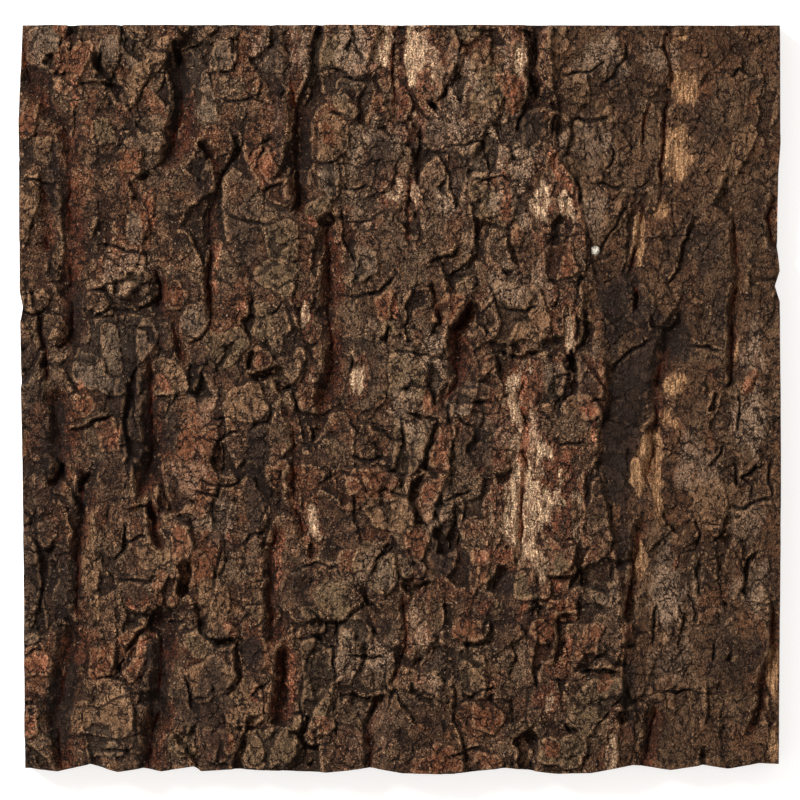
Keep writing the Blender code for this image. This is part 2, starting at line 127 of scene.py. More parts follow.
# Gashes that stand open: half-width, depth, and their points.
GASHES = (
    (1.6, 7.0, ((-131, 147), (-131.5, 141), (-132, 138))),
    (2.0, 7.0, ((-140, 130), (-137, 133), (-137, 136))),
    (2.2, 7.5, ((-113, 123), (-115, 127), (-120, 131), (-119, 137))),
    (2.0, 6.5, ((-127, 124), (-121, 123), (-116, 124), (-110, 122), (-110, 117))),
    (2.0, 7.0, ((-89, 141), (-87, 136), (-86, 130))), (1.3, 6.0, ((-75, 142), (-71, 145), (-69, 150))),
    (1.6, 7.0, ((-65, 143), (-64.5, 136))), (1.2, 4.0, ((-127, 101), (-127, 107), (-127, 118))),
    (2.8, 7.0, ((-80, 102), (-76, 99), (-73.5, 94))), (2.6, 6.5, ((-104, 87), (-100, 88), (-98, 91))),
    (1.8, 6.0, ((-107, 86), (-105, 81), (-106, 76))), (2.2, 7.0, ((-43, 74), (-40, 77), (-40, 90))),
    (2.8, 8.0, ((-33, 69), (-28, 69), (-26, 74))),
    (2.2, 5.0, ((12.4, 115.4), (16, 119), (20, 125), (23, 131), (26.5, 136))),
    (2.6, 9.0, ((11.6, 114.6), (13.2, 116.2))), (1.4, 5.0, ((21, 147), (24, 138), (31, 139))),
    (1.8, 6.0, ((4.5, 108.5), (7, 105.5), (7, 101))), (1.6, 6.0, ((50, 128), (53, 119), (58, 117))),
    (1.3, 7.0, ((58.5, 118), (59.6, 111), (59.6, 102))),
    (1.4, 5.5, ((46, 146), (52, 144), (53, 134), (53, 130))),
    (1.6, 6.0, ((11, 52), (15, 54), (20, 55), (24, 61))), (1.4, 5.0, ((19, 46), (25, 52), (31, 58))),
    (1.8, 6.0, ((43, 67), (43.5, 60), (48, 52))),
    (1.8, 6.0, ((43, 70), (42, 66), (35, 69), (32, 69), (30, 63))),
    (2.6, 7.5, ((29, 39), (27, 34), (24, 30), (20, 27))),
    (2.0, 7.0, ((38, 19), (42, 16), (48, 15.5), (57, 19))),
    (2.2, 7.5, ((66.5, 10), (67.5, 14), (69, 17))),
    (3.2, 9.0, ((-60, 10), (-55, 8.5), (-49, 11), (-46, 5), (-46, -1))),
    (1.8, 7.0, ((-57.5, 19), (-59.5, 11))), (1.8, 7.0, ((1, -6), (7, -8), (13, -9), (15.5, -8))),
    (2.2, 8.0, ((15, -8), (14.5, -15), (12, -20), (10.5, -23), (10.5, -29))),
    (2.6, 9.0, ((10, -29), (7, -33), (6, -40), (7, -47), (13, -50))),
    (3.2, 9.0, ((13, -50), (17, -55), (18, -63))), (1.6, 6.0, ((21, -40), (21, -46), (17, -50))),
    (1.5, 5.0, ((-9, -37), (-5, -34.5), (0, -37), (5, -38))),
    (1.4, 5.5, ((-4, -55), (-8, -62), (-12, -69))),
    (1.8, 7.0, ((-14.5, -71), (-13, -77), (-10.5, -82), (-6, -84))),
    (1.8, 6.0, ((-36, -56), (-35, -64))), (2.6, 7.0, ((1, -70), (5, -76), (11, -72), (11, -70))),
    (2.8, 6.0, ((42, -66), (39, -72), (34, -76))),
    (2.0, 7.0, ((36, -86), (37, -95), (32, -96), (24, -97))),
    (1.4, 5.0, ((43, -96), (46, -103), (42, -110))),
    (1.4, 5.5, ((21, -107), (22.5, -116), (21, -126), (25, -134), (26, -150))),
    (3.8, 8.5, ((53, -128), (49, -136), (47, -143), (52, -150))),
    (1.6, 6.0, ((55, -65), (58, -70), (66, -70), (71, -68), (73, -78))),
    (3.0, 8.5, ((70, -84), (64, -88), (63.5, -96), (62, -104))),
    (1.4, 5.0, ((53, -84), (60, -89), (63, -91))), (1.5, 6.0, ((72, -108), (80, -107), (86, -108))),
    (1.6, 6.0, ((64, -127), (67, -132), (73, -136))), (2.0, 7.0, ((86, -124), (88, -130))),
    (1.8, 6.0, ((104, -43), (105, -50), (109, -54))), (1.8, 5.5, ((122, -57), (126, -54), (130, -45))),
    (1.8, 6.5, ((142, -59), (137, -65), (136.5, -71), (135, -76), (138, -81))),
    (1.4, 5.0, ((111.5, -83), (112, -90), (111, -95), (110, -101))),
    (1.2, 5.0, ((122, -110), (121, -119), (121.5, -126), (119, -130))),
    (2.2, 6.5, ((120, -137), (120, -150))),
    (1.6, 5.0, ((118, 73), (114, 63), (111, 54), (107, 47), (103, 43))),
    (1.6, 5.0, ((92, 42), (94, 39), (93, 34))),
    (1.6, 5.0, ((98, 34), (101, 28), (106, 27), (110, 30), (111, 36))),
    (1.8, 6.0, ((124, 3), (123.5, -6))), (3.4, 11.0, ((-85, -63), (-84.2, -70), (-85.5, -79))),
    (1.8, 7.5, ((-95, -81), (-98, -87), (-102, -93), (-108, -100))),
    (2.0, 6.0, ((-79.5, -80), (-78, -88), (-77, -94))),
    (2.6, 7.5, ((-63.5, -96), (-64, -102), (-63, -108), (-68, -117))),
    (2.8, 8.0, ((-64, -150), (-61, -136), (-58, -127), (-55, -124))),
    (2.8, 8.0, ((-88, -133), (-84, -138), (-80, -143), (-81, -150))),
    (2.2, 7.0, ((-45, -131), (-40, -132), (-36, -137), (-30, -140))),
    (3.0, 7.0, ((-22, -118), (-14, -119), (-6, -118), (-5, -122))),
    (1.5, 6.0, ((-2, -113), (0, -118), (4, -122), (7, -128))),
    (2.0, 7.0, ((-122, -29), (-125, -33), (-126, -37))),
    (1.8, 6.0, ((-129, -13.5), (-122, -11), (-119, -9), (-114, -7))),
    (1.5, 6.0, ((-109, -43.5), (-103, -43), (-99, -43), (-97, -47), (-95, -52))),
    (2.0, 7.0, ((-139, -34), (-135, -31), (-131.5, -25))),
    (1.4, 5.0, ((-140, 35), (-145, 33), (-151, 37))), (1.4, 5.0, ((-136, 19), (-131, 21), (-129, 27))),
    (1.5, 5.5, ((-97, 50), (-94, 43), (-93.5, 36))), (1.3, 5.0, ((-104, 36), (-98, 36), (-94, 40))),
    (1.5, 5.0, ((-84, 21), (-79, 22), (-75.5, 27))), (1.5, 5.0, ((-61, 33), (-57, 32), (-51, 31))),
    (1.2, 4.0, ((-100, -57), (-96, -57), (-93, -60), (-93.5, -65))),
)

# Thin cracks from drying: half-width, and their points.
CRACKS = (
    (0.8, ((-150, 86), (-143, 85), (-136, 83))), (0.8, ((-70, 118), (-66, 117), (-60, 118), (-56, 120))),
    (0.8, ((-85, 137), (-79, 139), (-76, 141))), (0.8, ((-70, 128), (-65, 130), (-62, 134))),
    (0.8, ((-61, 92), (-58, 97), (-52, 101), (-48, 102))), (0.8, ((-54, 82), (-50, 83), (-46, 86))),
    (0.8, ((-119, 60), (-114, 59), (-109, 58), (-103, 58), (-100, 56))),
    (0.9, ((-68, 74), (-64, 70), (-55, 69), (-47, 70))), (0.8, ((-31, 93), (-25, 92.5))),
    (0.8, ((-29, 111), (-25, 111), (-20, 112))),
    (0.8, ((-32, 130), (-25, 129), (-20, 126), (-17, 124), (-12, 126))),
    (0.8, ((-23, 69), (-15, 68), (-8, 70))), (0.8, ((-24, 83), (-18, 82), (-13, 84))),
    (0.8, ((17, 99), (22, 99), (27, 100), (32, 100), (33, 94), (35, 88))),
    (0.8, ((-19, 149), (-18, 139), (-14, 131))), (0.8, ((28, 85), (34, 85), (39, 86), (49, 85))),
    (0.8, ((-51, 45), (-47, 43), (-42, 46))), (0.8, ((-52, 32), (-48, 33), (-45, 37))),
    (0.8, ((-25, 40), (-15, 40), (-8, 42), (-2, 50))), (0.8, ((-4, 17), (1, 18), (7, 17), (12, 17))),
    (0.8, ((40, 35), (46, 35), (50, 34), (55, 36))), (0.8, ((-11, -11), (-6, -14), (-3, -17), (3, -17))),
    (0.8, ((-20, -10), (-16, -15), (-14, -16))),
    (0.8, ((-34, -37), (-29, -31), (-24, -29), (-17, -31), (-13, -36), (-9, -38))),
    (0.8, ((-19, -23), (-12, -25), (-5, -24))), (0.8, ((17, -39), (23, -38), (30, -36))),
    (0.8, ((22, -5), (26, -10), (31, -11))), (0.8, ((28, 0), (32, -1), (36, -1))),
    (0.8, ((60, -16), (64, -19), (70, -18), (75, -18))), (0.8, ((61, 7), (67, 9), (70, 12))),
    (0.8, ((-80, -31), (-74, -34), (-66, -33), (-62, -29))),
    (0.8, ((-81, -36), (-75, -38), (-71, -39), (-71, -33))),
    (0.8, ((-76, -7), (-72, -8), (-67, -7), (-64, -10))),
    (0.8, ((-75, -16), (-70, -18), (-66, -14), (-61, -14))),
    (0.8, ((-120, 31), (-113, 36), (-107, 35), (-103, 34))),
    (0.8, ((-108, -57), (-104, -55), (-99, -54))),
    (0.8, ((-113, -72), (-105, -72), (-99, -71), (-95, -69))),
    (0.8, ((-106, -84), (-101, -85), (-97, -85))), (0.8, ((-93, -88), (-88, -88), (-84, -87))),
    (0.8, ((-77, -93), (-72, -95), (-68, -95), (-64, -97))),
    (0.8, ((-82, -105), (-78, -103), (-75, -101))),
    (0.8, ((-121, -110), (-115, -109), (-110, -109), (-105, -112))),
    (0.8, ((-124, -121), (-119, -121), (-112, -118), (-106, -116))), (0.8, ((-148, -120), (-142, -120))),
    (0.8, ((-149, -102), (-144, -98), (-140, -98))), (0.8, ((-118, -139), (-110, -139), (-105, -138))),
    (0.8, ((-41, -67), (-34, -65), (-28, -66), (-23, -64))),
    (0.8, ((-41, -95), (-34, -94), (-29, -98), (-24, -98))), (0.8, ((-24, -85), (-25, -92), (-24, -98))),
    (0.8, ((-22, -101), (-17, -101), (-10, -102), (-4, -101))),
    (0.8, ((-44, -124), (-39, -125), (-34, -128))),
    (0.8, ((23, -119), (28, -118), (33, -115), (38, -114))),
    (0.8, ((18, -141), (23, -140), (28, -138), (35, -139))), (0.8, ((66, 110), (75, 109), (83, 111))),
    (0.8, ((79, 122), (84, 126), (89, 134), (90, 141))),
    (0.8, ((62, 128), (68, 129), (75, 128), (82, 133))), (0.8, ((74, 85), (80, 84), (85, 82), (90, 84))),
    (0.8, ((84, 101), (83, 94), (81, 90))), (0.8, ((79, 56), (82, 64), (87, 70), (90, 78))),
    (0.8, ((82, 9), (88, 17), (95, 22), (101, 24))), (0.8, ((113, 20), (121, 19), (126, 17))),
    (0.8, ((133, 2), (134, -6), (133, -15))), (0.8, ((121, -28), (127, -21), (128, -18))),
    (0.8, ((146, -23), (146, -33), (147, -42))), (0.8, ((129, -43), (136, -43), (142, -40), (148, -39))),
    (0.8, ((132, -25), (132, -36))), (0.8, ((116, -47), (117, -56))),
    (0.8, ((118, -62), (117, -70), (118, -78))), (0.8, ((112, -76), (115, -80), (116, -90))),
    (0.8, ((100, -80), (100, -90), (99, -98))), (0.8, ((103, -116), (110, -116), (117, -115))),
    (0.8, ((124, -97), (123, -104))), (0.8, ((138, 128), (134, 129), (131, 126))),
    (0.8, ((140, -37), (135, -31), (144, -27))),
)

# Scales: middle x and y, half-width, half-length, turn in degrees, rise, and tone.
SCALES = (
    (-140, 137, 7.5, 9, 0, 1.8, "grey"), (-130, 131, 6, 13, -28, 1.8, "rust"),
    (-111, 136, 7.5, 6.5, 0, 1.6, "grey"), (-94, 136.5, 6, 4.5, 20, 2.0, "tan"),
    (-104, 124, 4, 11, -32, 1.8, "tan"), (-69, 135, 5.5, 6.5, 0, 1.8, "grey"),
    (-78, 122, 5, 14, 8, 1.2, "grey"), (-117, 104, 5, 6, 10, 1.4, "olive"),
    (-122.5, 106, 2.4, 5, 10, 1.2, "rust"), (-107, 93, 6, 5, 0, 1.6, "rust"),
    (-146, 110, 4.5, 8, -20, 1.6, "rust"), (-140, 100, 4.5, 3.5, 0, 1.4, "tan"),
    (-147, 75, 4, 14, -8, 1.6, "tan"), (-99.5, 74, 3, 10, -4, 1.2, "rust"),
    (-104.5, 66, 3.5, 7, 0, 1.0, "grey"), (-52, 88, 6.5, 12, 32, 2.0, "rust"),
    (-46, 62, 7, 9, 0, 1.4, "olive"), (-48, 48, 8, 7, -20, 1.4, "olive"),
    (-20.5, 118, 6.5, 7, -10, 2.0, "olive"), (-17, 118, 2.6, 4, 10, 0.3, "rust"),
    (-26.5, 102, 6.2, 8.8, -6, 2.0, "tan"), (-28, 103, 2.2, 5, 0, 0.3, "rust"),
    (-28, 86, 4.2, 7.5, 0, 2.0, "grey"), (-31, 74, 5.5, 4.5, 0, 2.0, "olive"),
    (-15, 127.5, 3, 3, 0, 1.8, "rust"), (-27, 135, 8, 6, 10, 1.2, "olive"),
    (20.5, 133.5, 4.2, 8, -35, 2.2, "rust"), (14.5, 125, 3, 3.4, -20, 1.6, "rust"),
    (26, 143, 6.5, 3.4, 0, 1.8, "olive"), (32.6, 133.7, 3.8, 4.5, 0, 1.8, "tan"),
    (35, 122, 6.5, 8.5, -25, 1.8, "olive"), (42.5, 121, 3.4, 7, 20, 1.8, "rust"),
    (33, 112, 5, 6, 0, 1.6, "olive"), (30, 91, 4.5, 8, 0, 1.8, "olive"),
    (33, 77, 6, 7.5, 0, 1.6, "olive"), (42, 78, 3.8, 10, 5, 1.8, "rust"),
    (46.5, 64, 2.6, 5.5, -10, 1.6, "rust"), (-21, 65, 5.5, 4.5, 10, 1.8, "rust"),
    (-14, 52, 6.5, 6, 0, 1.4, "grey"), (62, 54, 8, 6.5, 10, 1.6, "rust"),
    (-136, 28, 4.6, 5.5, 0, 2.4, "tan"), (-143, 38, 5, 4, 20, 1.6, "tan"),
    (-81, 30, 5.5, 7, 0, 2.0, "grey"), (-91, 8, 7, 6.5, 0, 2.4, "tan"),
    (-89, 40, 5, 5, 30, 1.4, "rust"), (-115, -15, 5, 6.5, 15, 1.8, "rust"),
    (-125, -4, 5, 5, 0, 1.6, "rust"), (-113, 18, 13, 17, -20, 1.6, "grey"),
    (-104, 45, 6, 6, 0, 1.4, "tan"), (-82, -28, 12, 21, -10, 1.6, "rust"),
    (-77, -6, 8, 7, 0, 1.6, "rust"), (-61, -2, 8, 9, 10, 2.0, "tan"),
    (-54, 15, 3.6, 6, 10, 2.2, "rust"), (-68, 20, 8, 8, 20, 1.4, "olive"),
    (-54, 30, 5, 9, 5, 1.4, "olive"), (3, 8, 8, 10.5, -8, 2.2, "olive"),
    (11, -3.5, 3, 5, -15, 2.0, "rust"), (4, -18, 7.5, 10, -8, 2.0, "olive"),
    (-13, -33, 14, 6, -10, 1.6, "rust"), (17, -21, 4.6, 9.5, -12, 2.2, "rust"),
    (11.5, -39, 4.2, 9, -14, 2.4, "rust"), (17, -45, 2.4, 4.5, 15, 1.8, "grey"),
    (20, 35, 6.2, 7, -20, 2.4, "rust"), (46, 34, 11, 14.5, 0, 2.4, "tan"),
    (34, 12, 2.6, 6, -50, 2.0, "rust"), (31, 3, 5, 3.4, 0, 1.8, "olive"),
    (24, 0, 6, 8, -10, 1.6, "grey"), (-6, 37, 4, 5.5, 10, 1.8, "rust"),
    (-4, 28, 3.4, 4, 0, 1.6, "olive"), (-18, -37, 7, 7, 0, 1.6, "rust"),
    (-3, -45, 10, 7, 0, 1.8, "tan"), (75, 8, 6, 10, -5, 2.2, "rust"),
    (74, -5, 5.5, 3.6, 20, 2.0, "rust"), (62, 6, 6, 7, 0, 1.6, "grey"),
    (137, 7, 2.4, 6, -20, 1.2, "tan"), (-7, -69, 6.5, 6.5, 30, 2.4, "olive"),
    (-13, -62, 5, 6, -30, 1.6, "olive"), (-34, -87, 4.4, 6, 5, 1.8, "olive"),
    (-26, -80, 7, 8, 20, 1.6, "olive"), (-18, -92, 7, 7.5, 0, 1.6, "olive"),
    (-33, -112, 7, 17, 0, 2.0, "olive"), (-31, -130, 5.5, 4.5, 0, 2.2, "rust"),
    (-39.5, -128, 3, 3, 0, 1.8, "olive"), (-50, -137, 12, 8, 0, 2.0, "olive"),
    (31, -67, 4.4, 8, 5, 2.2, "rust"), (6, -57, 5, 7, 0, 1.8, "rust"), (5, -67, 5, 4, -20, 1.6, "grey"),
    (27, -91, 6.5, 5.5, 0, 1.8, "rust"), (29, -107, 6, 10, 5, 2.0, "olive"),
    (34, -125, 6.5, 6.5, -30, 1.8, "rust"), (18, -142, 7, 6, 0, 1.8, "rust"),
    (8, -145, 4, 4.5, 0, 1.8, "rust"), (34, -142.5, 5.5, 4, 0, 1.8, "rust"),
    (52, -73, 6.5, 8, 0, 2.2, "olive"), (62, -62, 7, 7, 0, 2.2, "olive"),
    (63, -57, 5, 2.4, 0, 0.6, "rust"), (80, -76, 6.5, 4.6, 0, 1.8, "grey"),
    (64, -83, 6, 5, 0, 1.6, "rust"), (56, -96, 6, 9, 0, 1.8, "rust"), (74, -96, 5, 8, -15, 1.8, "rust"),
    (76, -121, 6.8, 14, -32, 2.4, "olive"), (80.5, -112, 2.8, 3.4, -20, 0.3, "rust"),
    (64, -139, 10, 7, 0, 2.4, "olive"), (59, -138, 3.8, 4, 0, 0.4, "rust"),
    (-143, -103, 5, 8, 10, 2.2, "rust"), (-145, -127, 3.6, 7, 5, 2.0, "rust"),
    (-146, -92, 4, 4, 0, 1.6, "grey"), (-107, -96, 4, 11, -45, 1.8, "rust"),
    (-104, -103, 4, 8, -35, 2.0, "rust"), (-118, -104, 5.5, 7, 10, 1.6, "rust"),
    (-118, -122, 12, 13, 0, 1.6, "tan"), (-116, -136, 8, 6, 0, 1.4, "grey"),
    (-66.5, -92, 3.4, 3.4, 0, 2.2, "rust"), (-72, -82, 6, 12, 0, 1.4, "tan"),
    (-78, -96, 6, 6, 20, 1.4, "olive"), (-74, -110, 9, 9, 30, 1.6, "tan"),
    (-62, -120, 8, 10, 20, 1.6, "tan"), (-71, -137, 7, 6, 0, 1.6, "rust"),
    (-86, -137, 5, 5, 0, 1.8, "olive"), (-97, -61, 6.5, 6, 0, 1.6, "tan"),
    (-80, -62, 10, 12, 0, 1.4, "rust"), (-92, -75, 5, 8, 0, 1.4, "rust"),
    (-122, -65, 3.6, 20, 2, 1.0, "tan"), (88, -93, 2.6, 4.5, 0, 1.4, "rust"),
    (124, -42, 12, 9, 0, 0.8, "tan"), (71, 121, 3.2, 7, 0, 1.2, "tan"),
    (75, 97, 4.6, 13, 27, 1.4, "tan"), (84, 70, 3.6, 8, -38, 1.2, "tan"),
    (132, 95, 4.2, 17, -21, 1.3, "tan"), (61, 142, 5, 5, 0, 1.0, "tan"),
    (82, 112, 2.4, 4, 20, 1.0, "tan"), (104, 3, 3, 3, 0, 0.2, "tan"),
    (104, -97, 2.4, 5, -12, 0.5, "tan"),
)

# Fresh orange breaks along the rims of plates and walls: half-width and points.
FRESH = (
    (2.6, ((60, 98), (62.5, 92), (65.5, 87))), (1.7, ((65.5, 87), (69, 81), (71, 74))),
    (0.7, ((71, 74), (73, 62))), (1.3, ((57, 146), (54.5, 138), (52.5, 129))),
    (1.9, ((52.5, 128.5), (54.5, 124), (57, 118.5))), (1.8, ((42, 127), (45, 120), (43.5, 112))),
    (1.6, ((41, 88), (43, 80), (42, 74))), (0.5, ((-3, 138), (-2.5, 124), (-2.6, 112))),
    (0.5, ((4, 90), (3.8, 78), (4.6, 62))), (1.6, ((5, 105), (3, 102))),
    (1.2, ((-72, 66), (-73, 56), (-72, 42))), (1.0, ((-74, 76), (-73, 66))),
    (1.6, ((-99, 80), (-98, 74), (-97, 66))), (1.4, ((-129, 125), (-127, 119), (-128, 114))),
    (1.6, ((-136, 146), (-132, 143), (-131, 139))), (1.4, ((-24, 64), (-23, 61))),
    (1.2, ((-35, 72), (-33, 66))), (2.0, ((75, 16), (79, 6), (80, -4))),
    (1.4, ((70, -4), (75, -6), (79, -4))), (1.0, ((76, -9), (77, -17))),
    (1.4, ((49, -12), (50, -20), (48, -28))), (0.7, ((48, -30), (48, -42), (47, -56))),
    (1.2, ((49, 8), (48, 0))), (1.2, ((15, -14), (18, -22), (20, -28))), (1.6, ((12, 3), (13, -5))),
    (1.4, ((-1.5, 40), (0, 33))), (1.2, ((-48, -50), (-48, -62), (-48.5, -76))),
    (1.6, ((-44, -98), (-43.5, -110), (-44, -120))), (1.2, ((-125, 6), (-127, 2))),
    (1.6, ((-111, -12), (-114, -19))), (1.4, ((-68, -88), (-66, -93))),
    (1.4, ((-57, -112), (-57, -119))), (1.4, ((-145, -98), (-141, -101), (-141, -108))),
    (1.6, ((-147, -113), (-145, -124), (-144, -134))), (1.4, ((-104, -84), (-108, -80))),
    (1.4, ((-98, -92), (-103, -99))), (1.4, ((60, -70), (64, -76))), (1.2, ((49, -82), (47, -88))),
    (1.8, ((33, -62), (31, -66))), (1.4, ((66, -92), (66, -104))),
    (2.3, ((139, 10), (138, 6), (136, 2))), (1.4, ((149, 80), (149, 68))),
    (1.0, ((109, -63), (109, -68))), (1.0, ((-67, -53), (-67, -57))), (1.0, ((-105, -40), (-105, -44))),
    (1.4, ((-60, 40), (-64, 35))), (1.4, ((-95, 8), (-91, 3))),
    (1.4, ((-48, 96), (-53, 90), (-54, 84))),
)

# Patches where the crust has worn away to pale cork: middle x and y, half-width, half-length, turn, strength.
PALE = (
    (4, 131, 8, 14, 0, 1.5), (-6, 135, 4, 12, 0, 1.0), (14, 134, 5, 9, 0, 0.6), (-3, 80, 5, 7, 0, 0.8),
    (6, 81, 2.2, 7, 0, 0.9), (33, 112, 3, 2.5, 0, 0.4), (47.5, 132, 3.5, 10, 0, 1.0),
    (56, 77, 3.6, 9, 0, 1.1), (60.3, 90.6, 1.4, 4.5, 0, 1.0), (66, 75, 3.2, 7, 15, 1.2),
    (66, 28, 2.6, 12, 0, 0.95), (45, 0, 8, 11, 0, 0.9), (50, -45, 14, 18, 0, 1.8),
    (43, -50, 8, 9, 0, 1.4), (48, -22, 8, 9, 0, 0.6), (47, -63, 4, 6, 0, 0.7),
    (-34, -50, 2.6, 8, 0, 1.0), (-38, 31, 2, 5, 0, 0.9), (-35, 8, 2, 4, 0, 0.8),
    (-17, 7, 2.4, 5, 0, 1.0), (110, 142, 5, 3.5, 0, 1.2), (110, 122, 5.5, 8, 0, 1.2),
    (109.5, 100, 5, 12, 0, 1.4), (103.5, 74, 2.6, 4.5, 0, 1.1), (94.5, 62, 2, 9, 0, 1.2),
    (149, 72, 2, 8, 0, 1.0), (133, 45, 1.6, 5, 0, 0.9), (132.5, 18, 1.5, 7, 0, 1.0),
    (107, 5.5, 6, 5, 0, 1.1), (105.5, -8, 3.6, 5.5, 0, 1.3), (95.5, -23, 3.2, 15, -16, 1.5),
    (101.5, -23, 3.8, 16, 0, 1.8), (95, -66, 3.4, 8, 0, 1.2), (147, -110, 2, 10, 0, 1.0),
    (147, -138, 2, 7, 0, 0.8), (58, -120, 3.5, 6, 0, 0.8), (-7, -130, 3, 7, 0, 0.45),
    (-17, -138, 4, 7, 0, 0.4), (7.5, -93, 4, 15, 0, 0.6), (114, -118, 1.6, 6, 0, 0.5),
    (84, 114, 1.5, 3, 0, 0.5), (104, -97, 1.5, 4, 0, 0.5), (-49, 113, 3, 8, 0, 0.4),
    (83, -139, 2.5, 8, 0, 0.7),
)

# Broad areas bleached by the weather: middle x and y, half-width, half-length, turn, strength.
LIGHT = (
    (-45, 134, 12, 13, 0, 1.1), (-18, 132, 13, 15, 0, 1.4), (6, 134, 11, 13, 0, 1.2),
    (26, 128, 12, 16, 0, 1.2), (46, 132, 10, 12, 0, 1.0), (78, 134, 14, 10, 0, 0.9),
    (38, 100, 14, 17, 0, 1.1), (46, 82, 11, 18, 0, 1.0), (76, 100, 12, 12, 0, 0.8),
    (-12, 102, 13, 14, 0, 0.8), (14, 104, 12, 12, 0, 0.6), (104, 134, 12, 10, 0, 0.6),
    (15, 18, 10, 12, 0, 0.8), (18, 78, 10, 14, 0, 0.7), (-14, 76, 11, 12, 0, 0.5),
    (74, 74, 10, 12, 0, 0.6), (60, 92, 8, 12, 0, 0.5), (-104, 45, 12, 10, 0, 0.7),
    (46, 42, 12, 12, 0, 0.7), (74, 14, 7, 12, 0, 0.8), (-82, -30, 12, 14, 0, 0.5),
    (-74, -48, 11, 13, 0, 0.7), (-74, -2, 9, 10, 0, 0.5), (138, -10, 9, 13, 0, 1.0),
    (138, 18, 8, 12, 0, 0.9), (136, -46, 10, 12, 0, 0.5), (136, -76, 9, 12, 0, 0.6),
    (105, -74, 13, 14, 0, 1.0), (106, -104, 10, 12, 0, 0.5), (-14, -100, 12, 12, 0, 0.8),
    (13, -104, 11, 12, 0, 0.7), (42, -12, 13, 12, 0, 0.8), (120, -28, 12, 16, 0, 0.6),
    (4, -8, 8, 18, 0, 0.7), (-14, -68, 12, 10, 0, 0.6), (15, -45, 10, 12, 0, 0.5),
)

# Dark places, partly sooty crust and partly painted shade beside furrows, gaps and overhangs: middle x and y,
# half-width, half-length, turn, strength.
DARK = (
    (-142, -25, 9, 75, 0, 0.55), (-76, -118, 11, 26, 0, 0.75), (-15, -128, 8, 12, 0, 0.45),
    (-118, -20, 7, 25, 0, 0.4), (-105, 12, 10, 14, 0, 0.5), (-75, 12, 9, 12, 0, 0.5),
    (-15, 10, 8, 12, 0, 0.5), (-104, -73, 10, 12, 0, 0.5), (-48, -73, 8, 12, 0, 0.5),
    (-104, -136, 10, 10, 0, 0.6), (142, 70, 6, 12, 0, 0.5), (53, 109, 6, 9, 0, 1.2),
    (84, 128, 4, 7, 0, 0.7), (88, 117, 6, 5, 0, 0.6), (121, 108, 7, 8, 0, 0.5),
    (30, -20, 8, 10, 0, 0.7), (-56, -31, 5, 18, 0, 0.7), (-7, -90, 5, 6, 0, 0.6),
    (6, -120, 4, 6, 0, 0.6), (87, -20, 9.5, 25, -5, 1.5), (94, 10, 9, 18, -20, 1.6),
    (106, 24, 12, 10, 0, 1.1), (86, 38, 11, 17, 0, 0.9), (86, -55, 4, 9, 0, 0.8),
    (-94, -112, 5, 24, 0, 0.7), (-134, -112, 6, 24, 0, 0.6), (126, 32, 4, 9, 0, 0.7),
    (110, 60, 12, 12, 0, 0.4), (39, -72, 4, 6, 0, 0.8), (-89, 119, 5, 15, 0, 0.9),
    (-117, 130, 4, 8, 0, 0.9), (-102, 106, 5, 8, 0, 0.5), (-98, 20, 6, 14, 0, 0.5),
    (-105, -63, 6, 10, 0, 0.5), (35, -5, 6, 8, 0, 0.5), (0, 60, 6, 12, 0, 0.4),
    (-62, 60, 6, 16, 0, 0.5), (-127, 35, 4, 16, 0, 1.0), (-136, -16, 6, 18, 0, 1.3),
    (-103, -10, 7, 22, 0, 1.1), (-110, 0, 5, 8, 0, 0.8), (-90, -13, 4.5, 10, 0, 0.9),
    (-56, -20, 6, 12, 0, 0.9), (-126, -40, 4, 8, 0, 1.0), (-95, 27, 7, 8, 0, 0.6),
    (-136, -72, 10, 22, 0, 0.8), (-133, -119, 6, 22, 0, 1.2), (-96, -114, 5.5, 25, 0, 1.2),
    (-58, -101, 5, 7, 0, 1.2), (16, -62, 4.5, 11, 0, 1.2), (7, -71, 5, 3, 0, 0.9),
    (41, -73, 6, 7, 0, 1.2), (-38, -82, 6, 15, 0, 0.6), (88, -60, 4.5, 10, 0, 1.0),
    (133, -102, 14, 10, 0, 0.6), (89, -118, 4, 13, 0, 1.0), (113, 112, 5, 7, 0, 0.5),
    (-9, 95, 8, 12, 0, 0.7), (10, 98, 6, 8, 0, 0.6), (118, 60, 10, 16, 0, 0.6),
    (-47, 120, 3, 22, 0, 0.8), (-38, 95, 3, 18, 0, 0.7), (-136, 85, 5, 14, 0, 0.9),
    (-147, 15, 4, 14, 0, 0.6), (-78, 88, 4, 10, 0, 0.8),
)


def hashed(column, row, seed):
    """Give a repeatable number from 0 to 1 for each whole-number place."""
    code = (column.astype(np.int64) * 374761393 + row.astype(np.int64) * 668265263 + seed * 974634777)
    code = code & 0xFFFFFFFF
    code = ((code ^ (code >> 13)) * 1274126177) & 0xFFFFFFFF
    return ((code ^ (code >> 16)) & 0xFFFFFF) / float(0xFFFFFF)


def noise(x, y, size, seed):
    """Give smooth noise from -1 to 1 whose lumps are about size across."""
    column = np.floor(x / size)
    row = np.floor(y / size)
    right = x / size - column
    up = y / size - row
    right = right * right * right * (right * (right * 6 - 15) + 10)
    up = up * up * up * (up * (up * 6 - 15) + 10)
    low_left = hashed(column, row, seed)
    low_right = hashed(column + 1, row, seed)
    high_left = hashed(column, row + 1, seed)
    high_right = hashed(column + 1, row + 1, seed)
    low = low_left + (low_right - low_left) * right
    high = high_left + (high_right - high_left) * right
    return 2 * (low * (1 - up) + high * up) - 1


def fractal(x, y, size, seed, octaves, gain=0.5):
    """Add up noise at halving sizes."""
    total = 0.0
    weight = 0.0
    for octave in range(octaves):
        share_of_it = gain ** octave
        lump = noise(x + 17.3 * octave, y - 9.1 * octave, size / 2 ** octave, seed + octave)
        total = total + share_of_it * lump
        weight += share_of_it
    return total / weight


def smooth(part):
    """Ease from 0 to 1."""
    part = np.clip(part, 0.0, 1.0)
    return part * part * (3 - 2 * part)


